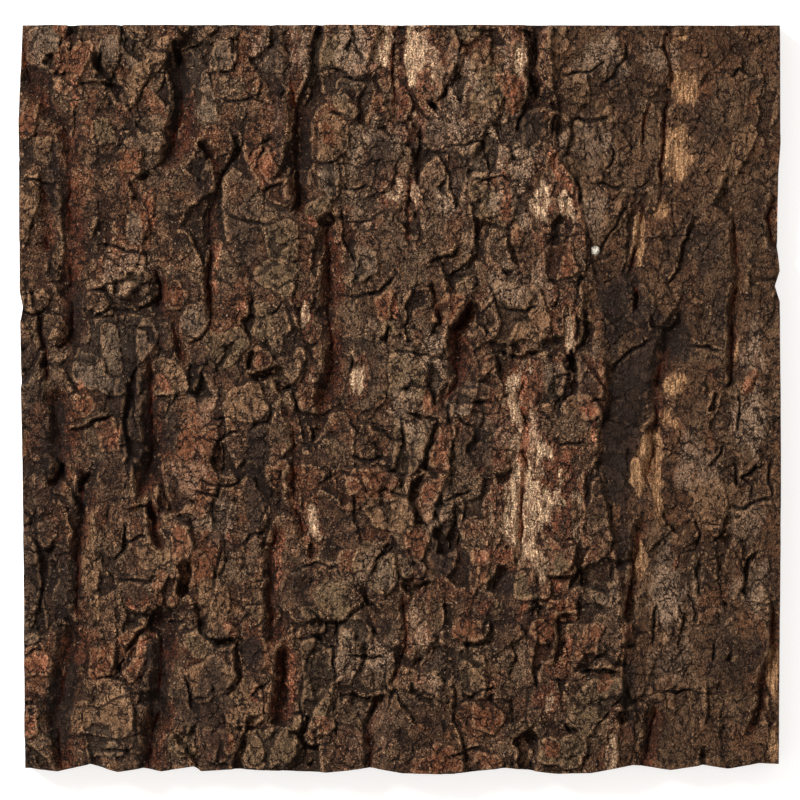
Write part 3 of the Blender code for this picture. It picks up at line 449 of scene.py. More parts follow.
# The way the light falls across the face, from the upper left.
FROM_LIGHT = (0.85, -0.53)


def along(x, y, points):
    """Give the distance to a line of points, the way along it from 0 to 1, and the side: shaded -1, lit 1."""
    points = np.array(points, float)
    steps = np.hypot(*(points[1:] - points[:-1]).T)
    before = np.concatenate([[0.0], np.cumsum(steps)])
    nearest = np.full(x.shape, 1e9)
    place = np.zeros(x.shape)
    lee = np.zeros(x.shape)
    for (from_x, from_y), (to_x, to_y), step, start in zip(points[:-1], points[1:], steps, before):
        part = ((x - from_x) * (to_x - from_x) + (y - from_y) * (to_y - from_y)) / step ** 2
        part = np.clip(part, 0.0, 1.0)
        off_x = x - from_x - part * (to_x - from_x)
        off_y = y - from_y - part * (to_y - from_y)
        distance = np.hypot(off_x, off_y)
        side = (FROM_LIGHT[0] * off_x + FROM_LIGHT[1] * off_y) / np.maximum(distance, 0.05)
        nearer = distance < nearest
        nearest = np.where(nearer, distance, nearest)
        place = np.where(nearer, (start + part * step) / before[-1], place)
        lee = np.where(nearer, side, lee)
    return nearest, place, lee


def near(x, y, points, reach):
    """Say which places lie in the box around some points."""
    points = np.array(points, float)
    low = points.min(0) - reach
    high = points.max(0) + reach
    return (x > low[0]) & (x < high[0]) & (y > low[1]) & (y < high[1])


def edge_at(edge, place):
    """Read a side of the outline, or the lip, at a place along it."""
    return np.interp(place, [p[0] for p in edge], [p[1] for p in edge])


def turned(off_x, off_y, half, long, angle):
    """Give the place across and along an oval that is turned by some radians, 1 at its rim."""
    wide_way = (off_x * np.cos(angle) + off_y * np.sin(angle)) / half
    long_way = (off_y * np.cos(angle) - off_x * np.sin(angle)) / long
    return wide_way, long_way


def patches(places, x, y, worn, reach, ragged_by, ease):
    """Give the strength of listed patches whose edges are worn ragged."""
    total = np.zeros(x.shape)
    for middle_x, middle_y, half, long, turn, strength in places:
        here = near(x, y, ((middle_x, middle_y),), 2.4 * max(half, long) + 6)
        oval = turned(x[here] - middle_x, y[here] - middle_y, half, long, np.radians(turn))
        inside = smooth((reach - np.hypot(*oval) + ragged_by * worn[here]) / ease)
        total[here] = np.maximum(total[here], strength * inside)
    return total


def squarish(wide_way, long_way, corners, waves, phases):
    """Say how far out a place lies on a squarish scale with a wavy rim, 1 at the rim."""
    round_about = np.arctan2(long_way, wide_way)
    out = (np.abs(wide_way) ** corners + np.abs(long_way) ** corners) ** (1 / corners)
    wavy = 1.0
    for count, wave, phase in zip((2, 3, 5), waves, phases):
        wavy = wavy + wave * np.sin(count * round_about + phase)
    return out / wavy


# Plates of three sizes: width and length of a plate's place, seed, size there, turn, tilt, rise and wall.
BIG_PLATES = (18.0, 32.0, 201, 0.62, 0.35, 0.10, 3.0, 5.0)
MID_PLATES = (9.5, 15.0, 221, 0.60, 0.6, 0.15, 2.2, 5.0)
SMALL_PLATES = (4.6, 6.4, 241, 0.60, 1.2, 0.16, 1.1, 4.0)
PLATE_SHIFT = 0.8
PLATE_CORNERS = 2.8
PLATE_WAVES = (0.13, 0.10, 0.05)
PLATE_ROUNDING = 0.14


def plates(x, y, wide, long, seed, size, turn, tilt, rise, wall):
    """Lay overlapping plates and give the highest: its height, its own number, the way in from its rim."""
    column = np.floor(x / wide)
    row = np.floor(y / long)
    top = np.full(x.shape, -9.0)
    key = np.zeros(x.shape)
    rim = np.full(x.shape, -1.0)
    for beside in (-1, 0, 1):
        for above in (-1, 0, 1):
            draw = [hashed(column + beside, row + above, seed + n) for n in range(9)]
            off_x = x - (column + beside + 0.5 + PLATE_SHIFT * (draw[0] - 0.5)) * wide
            off_y = y - (row + above + 0.5 + PLATE_SHIFT * (draw[1] - 0.5)) * long
            half = wide * size * (0.72 + 0.56 * draw[3])
            half_long = long * size * (0.72 + 0.56 * draw[4])
            oval = turned(off_x, off_y, half, half_long, turn * 2 * (draw[2] - 0.5))
            phases = (6.3 * draw[5], 6.3 * draw[6], 6.3 * draw[3])
            out = squarish(*oval, PLATE_CORNERS, PLATE_WAVES, phases)
            inside = (1 - out) * min(wide, long) * size
            face = rise * draw[7] + tilt * ((draw[5] - 0.5) * off_x + (draw[6] - 0.35) * off_y) * 2
            rounding = 1 - smooth(inside / (PLATE_ROUNDING * wide * size))
            face = face - wall * np.maximum(-inside, 0) - PLATE_ROUNDING * rise * rounding
            over = face > top
            key = np.where(over, draw[8], key)
            rim = np.where(over, inside, rim)
            top = np.where(over, face, top)
    return np.maximum(top, -0.9 * rise), key, rim


def cracked(x, y, wide, long, seed):
    """Give the distance to the nearest crack of a crazed surface."""
    column = np.floor(x / wide)
    row = np.floor(y / long)
    first = np.full(x.shape, 1e9)
    second = np.full(x.shape, 1e9)
    first_at = [np.zeros(x.shape), np.zeros(x.shape)]
    second_at = [np.zeros(x.shape), np.zeros(x.shape)]
    for beside in (-1, 0, 1):
        for above in (-1, 0, 1):
            draw_x = hashed(column + beside, row + above, seed)
            draw_y = hashed(column + beside, row + above, seed + 1)
            middle = ((column + beside + 0.5 + 0.85 * (draw_x - 0.5)) * wide,
                      (row + above + 0.5 + 0.85 * (draw_y - 0.5)) * long)
            distance = np.hypot(x - middle[0], (y - middle[1]) * wide / long)
            nearest = distance < first
            next_one = ~nearest & (distance < second)
            second = np.where(nearest, first, np.where(next_one, distance, second))
            second_at = [np.where(nearest, was_first, np.where(next_one, here, was_second))
                         for was_first, here, was_second in zip(first_at, middle, second_at)]
            first = np.where(nearest, distance, first)
            first_at = [np.where(nearest, here, was_first) for here, was_first in zip(middle, first_at)]
    gap = np.hypot(first_at[0] - second_at[0], (first_at[1] - second_at[1]) * wide / long)
    return (second ** 2 - first ** 2) / (2 * np.maximum(gap, 1e-6))


# How deep each kind of break goes, and how high each layer stands, in mm or as a share of its full measure.
FURROW_SHARE = 0.68
GASH_SHARE = 0.62
HOLLOW_SHARE = 0.8
BIG_SHARE = 0.85
MID_LEAST = 0.3
MID_MORE = 0.45
SMALL_SHARE = 0.35
SCALE_RISE = 1.15
SCALE_CORNERS = 3.6
SCALE_WAVES = (0.10, 0.09, 0.05)
CRACK_DEPTH = 1.1
THIN_DEPTH = 2.2
SLIT_DEPTH = 1.6
GRAIN_RISE = 0.85
STRAND_RISE = 0.7
BEAD_RISE = 0.9

# Drying cracks of two sizes: how far apart they stand, and half their width, in mm.
CRACK_SPACING = 9.0
CRACK_HALF = 0.55
FINE_SPACING = (4.2, 4.6)
FINE_HALF = 0.35

# The one small white bead that sits on the face: its middle and its half-width.
BEAD = (77.0, 58.1)
BEAD_HALF = 1.7


def weathered_face(x, y):
    """Give the height of the outer face in mm at places on it, and the masks that its material reads."""
    warped_x = x + 1.7 * fractal(x, y, 16, 11, 3) + 1.1 * fractal(x, y, 4.5, 21, 4, 0.6)
    warped_y = y + 1.7 * fractal(x, y, 16, 31, 3) + 1.1 * fractal(x, y, 4.5, 41, 4, 0.6)
    ragged_x = warped_x + 1.6 * noise(x, y, 7, 45)

    # Where the crust has worn away or gone pale, and the dark places, partly sooty crust and partly painted
    # shade.
    worn = fractal(x, y * 0.4, 7, 301, 5, 0.66)
    masks = {
        "pale": patches(PALE, x, y, worn, 1.15, 1.4, 0.45),
        "blush": patches(PALE, x, y, worn, 1.85, 1.6, 0.9),
        "light": patches(LIGHT, x, y, worn, 1.2, 1.3, 0.9),
        "dark": patches(DARK, x, y, worn, 1.2, 0.9, 0.6),
    }
    pale = masks["pale"]

    # The broad form: the crest, and the step down to the smoother bark on the right.
    lip = edge_at(LIP, y)
    lower = smooth((warped_x - lip) / 1.6)
    rugged = (1 - 0.42 * smooth((x - lip) / 8)) * (1 - 0.75 * smooth(pale))
    height = CREST_Z + 1.9 * fractal(x, y * 0.4, 30, 3, 3) - STEP_DOWN * lower
    height = height + 1.3 * fractal(x + 0.5 * (warped_x - x), y * 0.13, 11, 7, 2)

    # The furrows, each with a thin slit along its floor.
    furrow = np.zeros(x.shape)
    slit = np.zeros(x.shape)
    for half, depth, points in FURROWS:
        here = near(x, y, points, half * 1.6 + 4)
        distance, part, lee = along(warped_x[here], warped_y[here], points)
        side, _, _ = along(ragged_x[here], warped_y[here], points)
        ends = np.sqrt(smooth(np.minimum(part, 1 - part) * 6))
        wide = half * (0.7 + 0.35 * ends) * (1 + 0.25 * noise(x[here], y[here], 9, 51)) * (1 + 0.35 * lee)
        valley = 0.6 * np.clip(1 - distance / wide, 0, 1) + 0.4 * smooth(1.25 * (1 - side / wide))
        valley = valley * (1 + 0.35 * noise(x[here], y[here], 14, 55))
        furrow[here] = np.maximum(furrow[here], FURROW_SHARE * depth * (0.3 + 0.7 * ends) * valley)
        broken = smooth(0.6 + 1.4 * noise(x[here], y[here], 8, 57))
        slit[here] = np.maximum(slit[here], ends * broken * np.clip(1 - distance / 0.8, 0, 1))
    upper = 1 - smooth(furrow / 5.0)

    # Plates of three sizes on the ridges.
    big, masks["slab"], big_rim = plates(warped_x, warped_y, *BIG_PLATES)
    mid, masks["plate"], mid_rim = plates(warped_x + 5, warped_y - 3, *MID_PLATES)
    small, masks["chip"], _ = plates(warped_x, warped_y, *SMALL_PLATES)
    some = smooth((noise(x, y, 18, 261) + 0.45) / 0.4)
    layered = BIG_SHARE * big + (MID_LEAST + MID_MORE * some) * mid
    height = height + rugged * (0.45 + 0.55 * upper) * layered
    height = height + (0.30 + 0.70 * rugged) * SMALL_SHARE * small
    # Near the rims of the mid and big plates, where the material paints shade for the shadow under their
    # edges.
    masks["gap"] = np.clip(1 - np.minimum(mid_rim, big_rim) / 0.5, 0, 1) * rugged

    # Drying cracks of two sizes, each kind in patches.
    wiggle_x = x + 2.2 * fractal(x, y, 6, 85, 4, 0.6)
    wiggle_y = y + 2.2 * fractal(x, y, 6, 87, 4, 0.6)
    crack = 1 - smooth(cracked(wiggle_x, wiggle_y, CRACK_SPACING, CRACK_SPACING, 81) / CRACK_HALF)
    crack = crack * smooth((noise(x, y, 8, 91) + 0.05) / 0.25)
    finer = 1 - smooth(cracked(wiggle_x, wiggle_y, *FINE_SPACING, 83) / FINE_HALF)
    finer = finer * smooth((noise(x, y, 6, 93) - 0.05) / 0.25)
    crack = np.maximum(crack, 0.6 * finer)
    height = height - CRACK_DEPTH * crack * (0.4 + 0.6 * upper)

    # The listed scales, each lifted and with its own tone.
    tones = {name: np.zeros(x.shape) for name in ("grey", "olive", "rust", "tan")}
    for middle_x, middle_y, half, long, turn, rise, name in SCALES:
        here = near(x, y, ((middle_x, middle_y),), max(half, long) + 5)
        oval = turned(warped_x[here] - middle_x, warped_y[here] - middle_y, half, long, np.radians(turn))
        out = squarish(*oval, SCALE_CORNERS, SCALE_WAVES, (middle_x, middle_y, middle_x * 2))
        lift = smooth((1 - out) * min(half, long) * 1.1 / 0.7)
        height[here] = height[here] + SCALE_RISE * rise * lift * (0.6 + 0.4 * upper[here])
        for other in tones:
            tones[other][here] = tones[other][here] * (1 - lift) + (lift if other == name else 0)
    height = height - furrow

    # Gashes, each with a slope on its lit side, then the thin cracks.
    gash = np.zeros(x.shape)
    hollow = np.zeros(x.shape)
    for half, depth, points in GASHES:
        here = near(x, y, points, 3 * half + 5)
        distance, part, lee = along(warped_x[here], warped_y[here], points)
        ends = smooth(np.minimum(part, 1 - part) * 5)
        wide = (0.95 * half - 0.7) * (0.1 + 0.9 * ends) * (1 + 0.5 * noise(x[here], y[here], 5, 101))
        cleft = smooth((wide + 0.4 - distance) / 1.1)
        gash[here] = np.maximum(gash[here], depth * (0.4 + 0.6 * ends) * cleft)
        slope = 0.5 * smooth(1 - distance / (2.6 * half + 2)) * smooth(0.5 + lee) * ends
        hollow[here] = np.maximum(hollow[here], depth * slope)
    height = height - np.maximum(GASH_SHARE * gash, HOLLOW_SHARE * hollow)
    thin = np.zeros(x.shape)
    for half, points in CRACKS:
        here = near(x, y, points, half + 4)
        distance, part, _ = along(warped_x[here], warped_y[here], points)
        ends = smooth(np.minimum(part, 1 - part) * 5)
        thin[here] = np.maximum(thin[here], (0.3 + 0.7 * ends) * np.clip(1 - distance / (half + 0.2), 0, 1))
    height = height - THIN_DEPTH * thin - SLIT_DEPTH * slit

    # Fresh breaks only colour the face.
    fresh = np.zeros(x.shape)
    for half, points in FRESH:
        here = near(x, y, points, half + 4)
        distance, part, _ = along(x[here] + 1.2 * (warped_x[here] - x[here]), warped_y[here], points)
        ends = smooth(np.minimum(part, 1 - part) * 8)
        fresh[here] = np.maximum(fresh[here], smooth((half * (0.4 + 0.6 * ends) + 0.5 - distance) / 0.8))

    # Corky grain all over, fibres in the furrows and on worn cork, and the white bead.
    grain = fractal(x, y * 0.7, 3.4, 111, 5, 0.72)
    strands = fractal(x, y * 0.08, 2.0, 121, 4, 0.65)
    soot_and_shade = smooth((masks["dark"] - 1.0) / 0.5)
    height = height + GRAIN_RISE * grain * (0.35 + 0.65 * rugged) * (1 - 0.5 * soot_and_shade)
    height = height + STRAND_RISE * strands * np.maximum(1 - 0.6 * upper, pale)
    away = np.hypot((x - BEAD[0]) / 1.25, y - BEAD[1])
    bead = smooth((BEAD_HALF + 0.4 * noise(x, y, 2.4, 131) - away) / 0.5)
    height = height + BEAD_RISE * bead
    masks.update(tones)
    masks.update({
        "bead": bead, "fresh": fresh, "lower": lower, "red": slit,
        "furrow": np.clip(furrow / 6, 0, 1), "gash": np.clip(gash / 5, 0, 1),
        "crack": np.maximum(thin, 0.6 * crack),
    })
    return height, masks


def soft_limits(height):
    """Ease the heights in under the highest crest and above the deepest furrow floor."""
    soft = 1.5
    over = HIGHEST_Z - soft
    under = LOWEST_FACE_Z + soft
    height = np.where(height > over, over + soft * (1 - np.exp(-(height - over) / soft)), height)
    return np.where(height < under, under - soft * (1 - np.exp(-(under - height) / soft)), height)


def blurred(field, reach):
    """Average a grid of heights over a square."""
    wide = 2 * reach + 1
    total = np.pad(np.cumsum(np.cumsum(np.pad(field, reach, mode="edge"), 0), 1), ((1, 0), (1, 0)))
    rows = total[wide:] - total[:-wide]
    return (rows[:, wide:] - rows[:, :-wide]) / wide ** 2


# The grid of the face. It follows the sawn outline, a hair inside the solid's own box.
INSET = 0.02
across, up = np.meshgrid(np.linspace(0.0, 1.0, COLUMNS + 1), np.linspace(0.0, 1.0, ROWS + 1))
low = np.maximum(edge_at(LOWER_EDGE, (across - 0.5) * WIDTH), LOWEST_Y + 0.05)
grid_y = low + (TOP_Y - low) * up
left = np.maximum(edge_at(LEFT_EDGE, grid_y), INSET / 2 - WIDTH / 2)
right = np.minimum(edge_at(RIGHT_EDGE, grid_y), WIDTH / 2 - INSET)
grid_x = left + (right - left) * across
grid_z, masks = weathered_face(grid_x, grid_y)

# How far a place lies below its surroundings: close around it, and over a ridge's width. The material paints
# shade where a place lies low, and a highlight where it stands above its close surroundings.
masks["hollow"] = np.clip((blurred(grid_z, 3) - grid_z) / 1.0, -1, 1)
masks["deep"] = np.clip((blurred(grid_z, 14) - grid_z) / 5.0, -1, 1)
grid_z = np.minimum(soft_limits(grid_z), HIGHEST_Z - INSET)


def slab_strip(name, first_column):
    """Make one width of the slab: its share of the weathered face, the sawn sides and the flat back."""
    keep = np.s_[:, first_column:first_column + STRIP_COLUMNS + 1]
    bpy.ops.object.select_all(action="DESELECT")
    bpy.ops.mesh.primitive_grid_add(x_subdivisions=STRIP_COLUMNS, y_subdivisions=ROWS, size=1.0)
    strip = bpy.context.object
    strip.name = name
    face = np.stack([grid_x[keep] * MM, (grid_y[keep] + REST_Y) * MM, grid_z[keep] * MM], 2).reshape(-1, 3)
    strip.data.vertices.foreach_set("co", face.ravel())
    for mask_name, mask in masks.items():
        layer = strip.data.attributes.new(mask_name, "FLOAT", "POINT")
        layer.data.foreach_set("value", mask[keep].ravel().astype(np.float32))
    bpy.ops.object.mode_set(mode="EDIT")
    bpy.ops.mesh.select_mode(type="EDGE")
    bpy.ops.mesh.select_all(action="DESELECT")
    bpy.ops.mesh.select_non_manifold()
    for _ in SIDE_ROWS:
        bpy.ops.mesh.extrude_region_move()
    bpy.ops.mesh.edge_face_add()
    bpy.ops.object.mode_set(mode="OBJECT")
    points = np.zeros(len(strip.data.vertices) * 3)
    strip.data.vertices.foreach_get("co", points)
    points = points.reshape(-1, 3)
    rim = 2 * (STRIP_COLUMNS + ROWS)
    cut = np.zeros(len(points), np.float32)
    for row, left_over in enumerate(SIDE_ROWS):
        start = len(face) + row * rim
        points[start:start + rim, 2] *= left_over
        cut[start:start + rim] = 1.0
    strip.data.vertices.foreach_set("co", points.ravel())
    strip.data.attributes.new("cut", "FLOAT", "POINT").data.foreach_set("value", cut)
    strip.data.update()
    bpy.ops.object.mode_set(mode="EDIT")
    bpy.ops.mesh.select_all(action="SELECT")
    bpy.ops.mesh.normals_make_consistent(inside=False)
    bpy.ops.object.mode_set(mode="OBJECT")
    bpy.ops.object.shade_smooth_by_angle(angle=math.radians(SMOOTH_UNDER))
    return strip


strips = [slab_strip("bark_width_%d" % (n + 1), n * STRIP_COLUMNS) for n in range(STRIPS)]


def colour(hexa):
    """Turn an sRGB hex value to linear red, green, blue and alpha."""
    parts = [int(hexa[i:i + 2], 16) / 255 for i in (1, 3, 5)]
    return [p / 12.92 if p <= 0.04045 else ((p + 0.055) / 1.055) ** 2.4 for p in parts] + [1.0]


def node(kind, links=None, output=0, **settings):
    """Add a node with its settings, and give an output; links name inputs and the socket or value of each."""
    made = tree.nodes.new("ShaderNode" + kind)
    for name, value in settings.items():
        setattr(made, name, value)
    for name, source in (links or {}).items():
        if isinstance(source, bpy.types.NodeSocket):
            tree.links.new(source, made.inputs[name])
        else:
            made.inputs[name].default_value = colour(source) if isinstance(source, str) else source
    return made.outputs[output]


# Weathered bark: dead outer cork, dry and matt, that the weather has split, flaked and bleached. The eye gets
# a dark, gritty, crazed brown; grey, olive, tan and rust scales; pale streaky cork where the crust has worn
# off; orange fresh breaks; painted shade in the hollows, furrows, gashes, cracks and under plate rims, and a
# painted highlight on raised crests. The saw shows growth layers, and the back fibrous bast.
skin = bpy.data.materials.new("weathered_bark")
skin.use_nodes = True
tree = skin.node_tree
shader = tree.nodes["Principled BSDF"]
metres = node("TexCoord", output="Object")
place = node("VectorMath", {0: metres, 1: (1 / MM, 1 / MM, 1 / MM)}, operation="MULTIPLY")
mask = {name: node("Attribute", output="Fac", attribute_name=name) for name in [*masks, "cut"]}


def lumps(size, detail, rough, stretch=(1, 1, 1)):
    """Give noise whose lumps are size millimetres across, drawn out where a stretch is under 1."""
    at = node("VectorMath", {0: place, 1: stretch}, operation="MULTIPLY")
    return node("TexNoise", {"Vector": at, "Scale": 1 / size, "Detail": detail, "Roughness": rough}, "Fac")


def share(where, start, end, strength=1.0, within=None, least=0.0):
    """Ease a value in from start to end, up to a strength, held back by another value."""
    ends = {"Value": where, "From Min": start, "From Max": end, "To Min": least, "To Max": strength}
    eased = node("MapRange", ends, "Result", interpolation_type="SMOOTHSTEP")
    return eased if within is None else node("Math", {0: eased, 1: within}, operation="MULTIPLY")


def coated(ground, *coats):
    """Lay coats over a ground: each has a colour, what places it, and its strength."""
    for over, part, strength in coats:
        part = node("Math", {0: part, 1: strength}, operation="MULTIPLY")
        ground = node("Mix", {0: part, 6: ground, 7: over}, 2, data_type="RGBA")
    return ground


# The patterns, each by the size of what it stands for.
fine = lumps(1.3, 3.0, 0.8)
mottle = lumps(4.0, 3.0, 0.7)
broad = lumps(22.0, 2.0, 0.6)
streak = lumps(1.3, 3.0, 0.75, (1, 0.16, 1))
fraying = node("Math", {0: fine, 1: 1.2, 2: -0.6}, operation="MULTIPLY_ADD")
frayed_names = ("grey", "olive", "rust", "tan", "furrow", "light", "dark", "blush", "pale", "fresh")
frayed = {name: node("Math", {0: mask[name], 1: fraying}, operation="ADD") for name in frayed_names}

# Worn cork: pale in streaks along the grain. Everything that belongs to the crust is left out there.
once = node("Math", {0: mask["pale"], 1: 1.0}, operation="MINIMUM")
split = share(lumps(1.7, 3.0, 0.75, (1, 0.14, 1)), 0.34, 0.46, 1.0, once, least=0.25)
pale_here = share(frayed["pale"], 0.25, 0.75, 1.0, split)
crust = node("Math", {0: pale_here, 1: -0.75, 2: 1.0}, operation="MULTIPLY_ADD")
blushing = node("Math", {0: mask["lower"], 1: -0.85, 2: crust}, operation="MULTIPLY_ADD", use_clamp=True)
cream = coated("#96705a", ("#edcfaa", share(streak, 0.30, 0.60), 1.0))
gold = coated("#7a583c", ("#d8ae82", share(streak, 0.34, 0.62), 1.0))
worn_cork = coated(cream, (gold, mask["lower"], 0.85))
fresh_break = coated("#93634a", ("#cd9676", share(mottle, 0.4, 0.6), 1.0))

# A net of cracks 4.2 mm apart, in patches; its lines wander up to 1.7 mm.
NET = 4.2
NET_LINE = 0.48
wander = node("TexNoise", {"Vector": place, "Scale": 1 / 2.6, "Detail": 1.0}, "Color")
wander = node("VectorMath", {0: wander, 1: (0.5, 0.5, 0.5)}, operation="SUBTRACT")
wandering = node("VectorMath", {0: wander, 1: (3.4, 3.4, 3.4), 2: place}, operation="MULTIPLY_ADD")
wandering = node("VectorMath", {0: wandering, 1: (1.25, 0.8, 1)}, operation="MULTIPLY")
apart = node("TexVoronoi", {"Vector": wandering, "Scale": 1 / NET}, "Distance", feature="DISTANCE_TO_EDGE")
net = share(lumps(NET * 0.9, 2.0, 0.6), 0.47, 0.53, 1.0, crust)
net = share(apart, NET_LINE / NET, 0.2 * NET_LINE / NET, 1.0, net)

# Hairline cracks: the thin contour where lumps of 2.6 mm pass their middle value, in patches.
contour = node("Math", {0: lumps(2.6, 2.0, 0.6, (1.2, 0.8, 1)), 1: 0.5}, operation="SUBTRACT")
contour = node("Math", {0: contour}, operation="ABSOLUTE")
hairline = share(lumps(5.0, 1.0, 0.5), 0.44, 0.52, 1.0, crust)
hairline = share(contour, 0.032, 0.014, 1.0, hairline)

# The dark places, partly sooty crust and partly painted shade, and the smoother bark on the right carry less
# grit.
soot_and_shade = node("Math", {0: mask["dark"], 1: 0.5}, operation="MULTIPLY")
settled = node("Math", {0: mask["lower"], 1: 0.35}, operation="MULTIPLY")
settled = node("Math", {0: soot_and_shade, 1: settled}, operation="MAXIMUM")
gritty = node("Math", {0: 1.0, 1: settled}, operation="SUBTRACT", use_clamp=True)
crest_highlight = node("Math", {0: mask["dark"], 1: -0.25, 2: 0.5}, operation="MULTIPLY_ADD", use_clamp=True)
gap = node("Math", {0: mask["gap"], 1: crust}, operation="MULTIPLY")

# The coats, from the brown ground up to the flecks and the white bead.
tint = coated(
    "#4e3a2c",
    ("#8f7157", share(mottle, 0.36, 0.66), 1.0),
    ("#8a5c42", share(mask["plate"], 0.78, 0.81), 0.3),
    ("#403025", share(mask["plate"], 0.36, 0.33), 0.45),
    ("#88745c", share(mask["plate"], 0.50, 0.52, 1.0, share(mask["plate"], 0.70, 0.68)), 0.4),
    ("#87715a", share(mask["slab"], 0.68, 0.70), 0.4),
    ("#7d5239", share(mask["chip"], 0.84, 0.86), 0.3),
    ("#402b1c", share(broad, 0.50, 0.66), 0.55),
    ("#6a523c", mask["lower"], 0.45),
    ("#8c7a66", share(frayed["grey"], 0.15, 0.85), 0.6),
    ("#8b775b", share(frayed["olive"], 0.15, 0.85), 0.6),
    ("#9a6a4e", share(frayed["rust"], 0.15, 0.85), 0.6),
    ("#ab8a6a", share(frayed["tan"], 0.15, 0.85), 0.6),
    ("#7c4a35", share(frayed["furrow"], 0.15, 0.85), 0.6),
    # Painted shade deep in the furrows.
    ("#35241a", share(mask["furrow"], 0.45, 1.0), 0.5),
    ("#c2a78c", share(frayed["light"], 0.05, 0.95), 0.6),
    # The listed dark places: partly sooty crust, partly painted shade beside furrows, gaps and overhangs.
    ("#382d26", share(frayed["dark"], 0.08, 0.92), 0.88),
    ("#8f5f49", share(frayed["blush"], 0.1, 0.9, 1.0, blushing), 0.5),
    (worn_cork, pale_here, 0.92),
    (fresh_break, share(frayed["fresh"], 0.32, 0.68), 0.85),
    ("#8a3a1c", mask["red"], 0.6),
    # Painted shade in the gashes.
    ("#2b1d15", mask["gash"], 0.35),
    # Painted shade in the cracks.
    ("#1d1510", share(mask["crack"], 0.15, 0.7), 0.8),
    # Painted shade under the rims of the plates.
    ("#1d1510", gap, 0.7),
    # Painted shade in the hollows.
    ("#2a1a0f", share(mask["hollow"], 0.2, 1.0), 0.4),
    # Painted highlight: crests that stand above their surroundings are painted pale tan, less so in the dark
    # places.
    ("#c8a480", share(mask["hollow"], -0.2, -0.8, 1.0, crest_highlight), 1.0),
    # Painted shade in broad, deep hollows.
    ("#2a1a12", share(mask["deep"], 0.3, 1.0), 0.2),
    # Painted shade along the net of cracks.
    ("#1f120a", net, 0.95),
    # Painted shade along the hairline cracks.
    ("#1f120a", hairline, 0.9),
    ("#c9b296", share(lumps(1.3, 1.0, 0.5), 0.66, 0.74, 1.0, gritty), 0.4),
    ("#281a10", share(lumps(2.2, 3.0, 0.75, (1, 0.6, 1)), 0.50, 0.38, 1.0, crust), 0.55),
    ("#fff6e4", mask["bead"], 1.0),
)

# The sawn sides show growth layers 1.5 mm thick, and the back its bast fibres.
years = lumps(1.5, 3.0, 0.7, (0.08, 0.08, 1))
fibres = lumps(2.2, 4.0, 0.7, (1, 0.07, 1))
bast = coated("#66503e", ("#a58a6e", share(fibres, 0.34, 0.64), 1.0),
              ("#3a281c", share(broad, 0.52, 0.64), 0.5))
sawn = coated("#4a3427", ("#94755c", share(years, 0.32, 0.64), 1.0),
              ("#2c1c13", share(mottle, 0.56, 0.66), 0.6),
              (bast, share(node("SeparateXYZ", {0: place}, "Z"), 0.3, 0.1), 1.0))
tint = coated(tint, (sawn, mask["cut"], 1.0))

# Grit: grains of 0.64 mm that darken or lighten the crust, calmer on the marked scales, and drawn out into
# strands in the furrows, in patches and on worn cork.
grain = node("Math", {0: lumps(0.64, 2.0, 0.8, (1, 0.8, 1)), 1: 7.4, 2: -2.6}, operation="MULTIPLY_ADD")
grain = node("Math", {0: grain, 1: 0.25}, operation="MAXIMUM")
strand = node("Math", {0: lumps(0.9, 2.0, 0.8, (1, 0.14, 1)), 1: 3.0, 2: -0.5}, operation="MULTIPLY_ADD")
marked = mask["grey"]
for name in ("olive", "tan", "rust"):
    marked = node("Math", {0: marked, 1: mask[name]}, operation="MAXIMUM")
marked = node("Math", {0: marked, 1: -0.5, 2: 1.0}, operation="MULTIPLY_ADD")
gritty = node("Math", {0: gritty, 1: marked}, operation="MULTIPLY")
fibrous = share(lumps(9.0, 1.0, 0.6, (1, 0.6, 1)), 0.48, 0.58, 0.6)
fibrous = node("Math", {0: mask["furrow"], 1: 0.6, 2: fibrous}, operation="MULTIPLY_ADD", use_clamp=True)
fibrous = node("Math", {0: fibrous, 1: pale_here}, operation="MAXIMUM")
grain = node("Mix", {0: gritty, 2: 1.0, 3: grain})
drawn_out = node("Mix", {0: fibrous, 2: 1.0, 3: strand})
grit = node("Math", {0: grain, 1: drawn_out}, operation="MULTIPLY")
tint = node("HueSaturation", {"Color": tint, "Value": grit, "Saturation": 1.13, "Hue": 0.4915}, "Color")
tree.links.new(tint, shader.inputs["Base Color"])
shader.inputs["Roughness"].default_value = 0.85
shader.inputs["Specular IOR Level"].default_value = 0.18

# Relief too fine for the mesh, in mm.
rise = node("Math", {0: lumps(0.55, 1.0, 0.7), 1: 3.4}, operation="MULTIPLY")
rise = node("Math", {0: fine, 1: 4.2, 2: rise}, operation="MULTIPLY_ADD")
rise = node("Math", {0: hairline, 1: -0.4, 2: rise}, operation="MULTIPLY_ADD")
rise = node("Math", {0: strand, 1: 0.35, 2: rise}, operation="MULTIPLY_ADD")
bumps = node("Bump", {"Height": rise, "Distance": MM, "Strength": 1.0}, "Normal")
tree.links.new(bumps, shader.inputs["Normal"])
for strip in strips:
    strip.data.materials.append(skin)
    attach(strip, "root")
    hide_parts("bark")

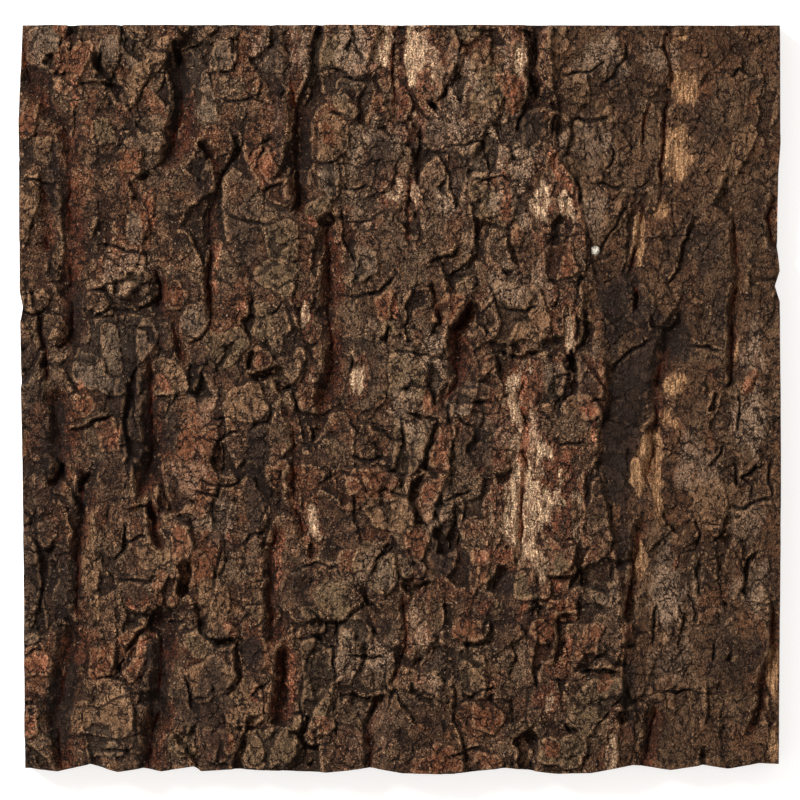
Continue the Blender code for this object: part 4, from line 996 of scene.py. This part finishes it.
# The floor. A plain white sheet, wide enough to fill the picture.
# Matt white paper, evenly lit: the eye sees near white, with a soft thin shadow at the lower right.
# It lies a fifth of a millimetre under the slab's back, so that the two faces never share a plane.
FLOOR_DROP = 0.2
bpy.ops.object.select_all(action="DESELECT")
bpy.ops.mesh.primitive_plane_add(size=3.0, location=(0, 0, -FLOOR_DROP * MM))
floor = bpy.context.object
floor.name = "floor"
sheet = bpy.data.materials.new("white_sheet")
sheet.use_nodes = True
sheet_shader = sheet.node_tree.nodes["Principled BSDF"]
sheet_shader.inputs["Base Color"].default_value = colour("#cccccc")
sheet_shader.inputs["Roughness"].default_value = 0.9
sheet_shader.inputs["Emission Color"].default_value = (1, 1, 1, 1)
sheet_shader.inputs["Emission Strength"].default_value = 0.62
floor.data.materials.append(sheet)

# The light. A soft lamp half a metre wide, high at the upper left, and a pale room around it.
key_light = bpy.data.objects.new("key", bpy.data.lights.new("key", "AREA"))
key_light.data.shape = "SQUARE"
key_light.data.size = 0.5
key_light.data.energy = 30.6
key_light.location = (-0.80, 0.58, 1.10)
key_light.rotation_euler = (Vector((0, 0, 0)) - key_light.location).to_track_quat("-Z", "Y").to_euler()
bpy.context.scene.collection.objects.link(key_light)
world = bpy.data.worlds.new("studio")
world.use_nodes = True
world.node_tree.nodes["Background"].inputs["Color"].default_value = colour("#fffaf4")
world.node_tree.nodes["Background"].inputs["Strength"].default_value = 0.74
bpy.context.scene.world = world
bpy.context.scene.view_settings.view_transform = "Standard"

# The camera looks straight down at the weathered face from three metres above its crests, in metres.
CAMERA_HEIGHT = 3.0
CAMERA_Y = -0.00014
CREST_HEIGHT = 0.021
FRAME_WIDTH = 0.3146
camera = bpy.data.objects.new("camera", bpy.data.cameras.new("camera"))
camera.data.sensor_width = 36.0
camera.data.lens = 36.0 * CAMERA_HEIGHT / FRAME_WIDTH
camera.location = (0.0, CAMERA_Y, CREST_HEIGHT + CAMERA_HEIGHT)
camera.rotation_euler = (0, 0, 0)
bpy.context.scene.collection.objects.link(camera)
bpy.context.scene.camera = camera
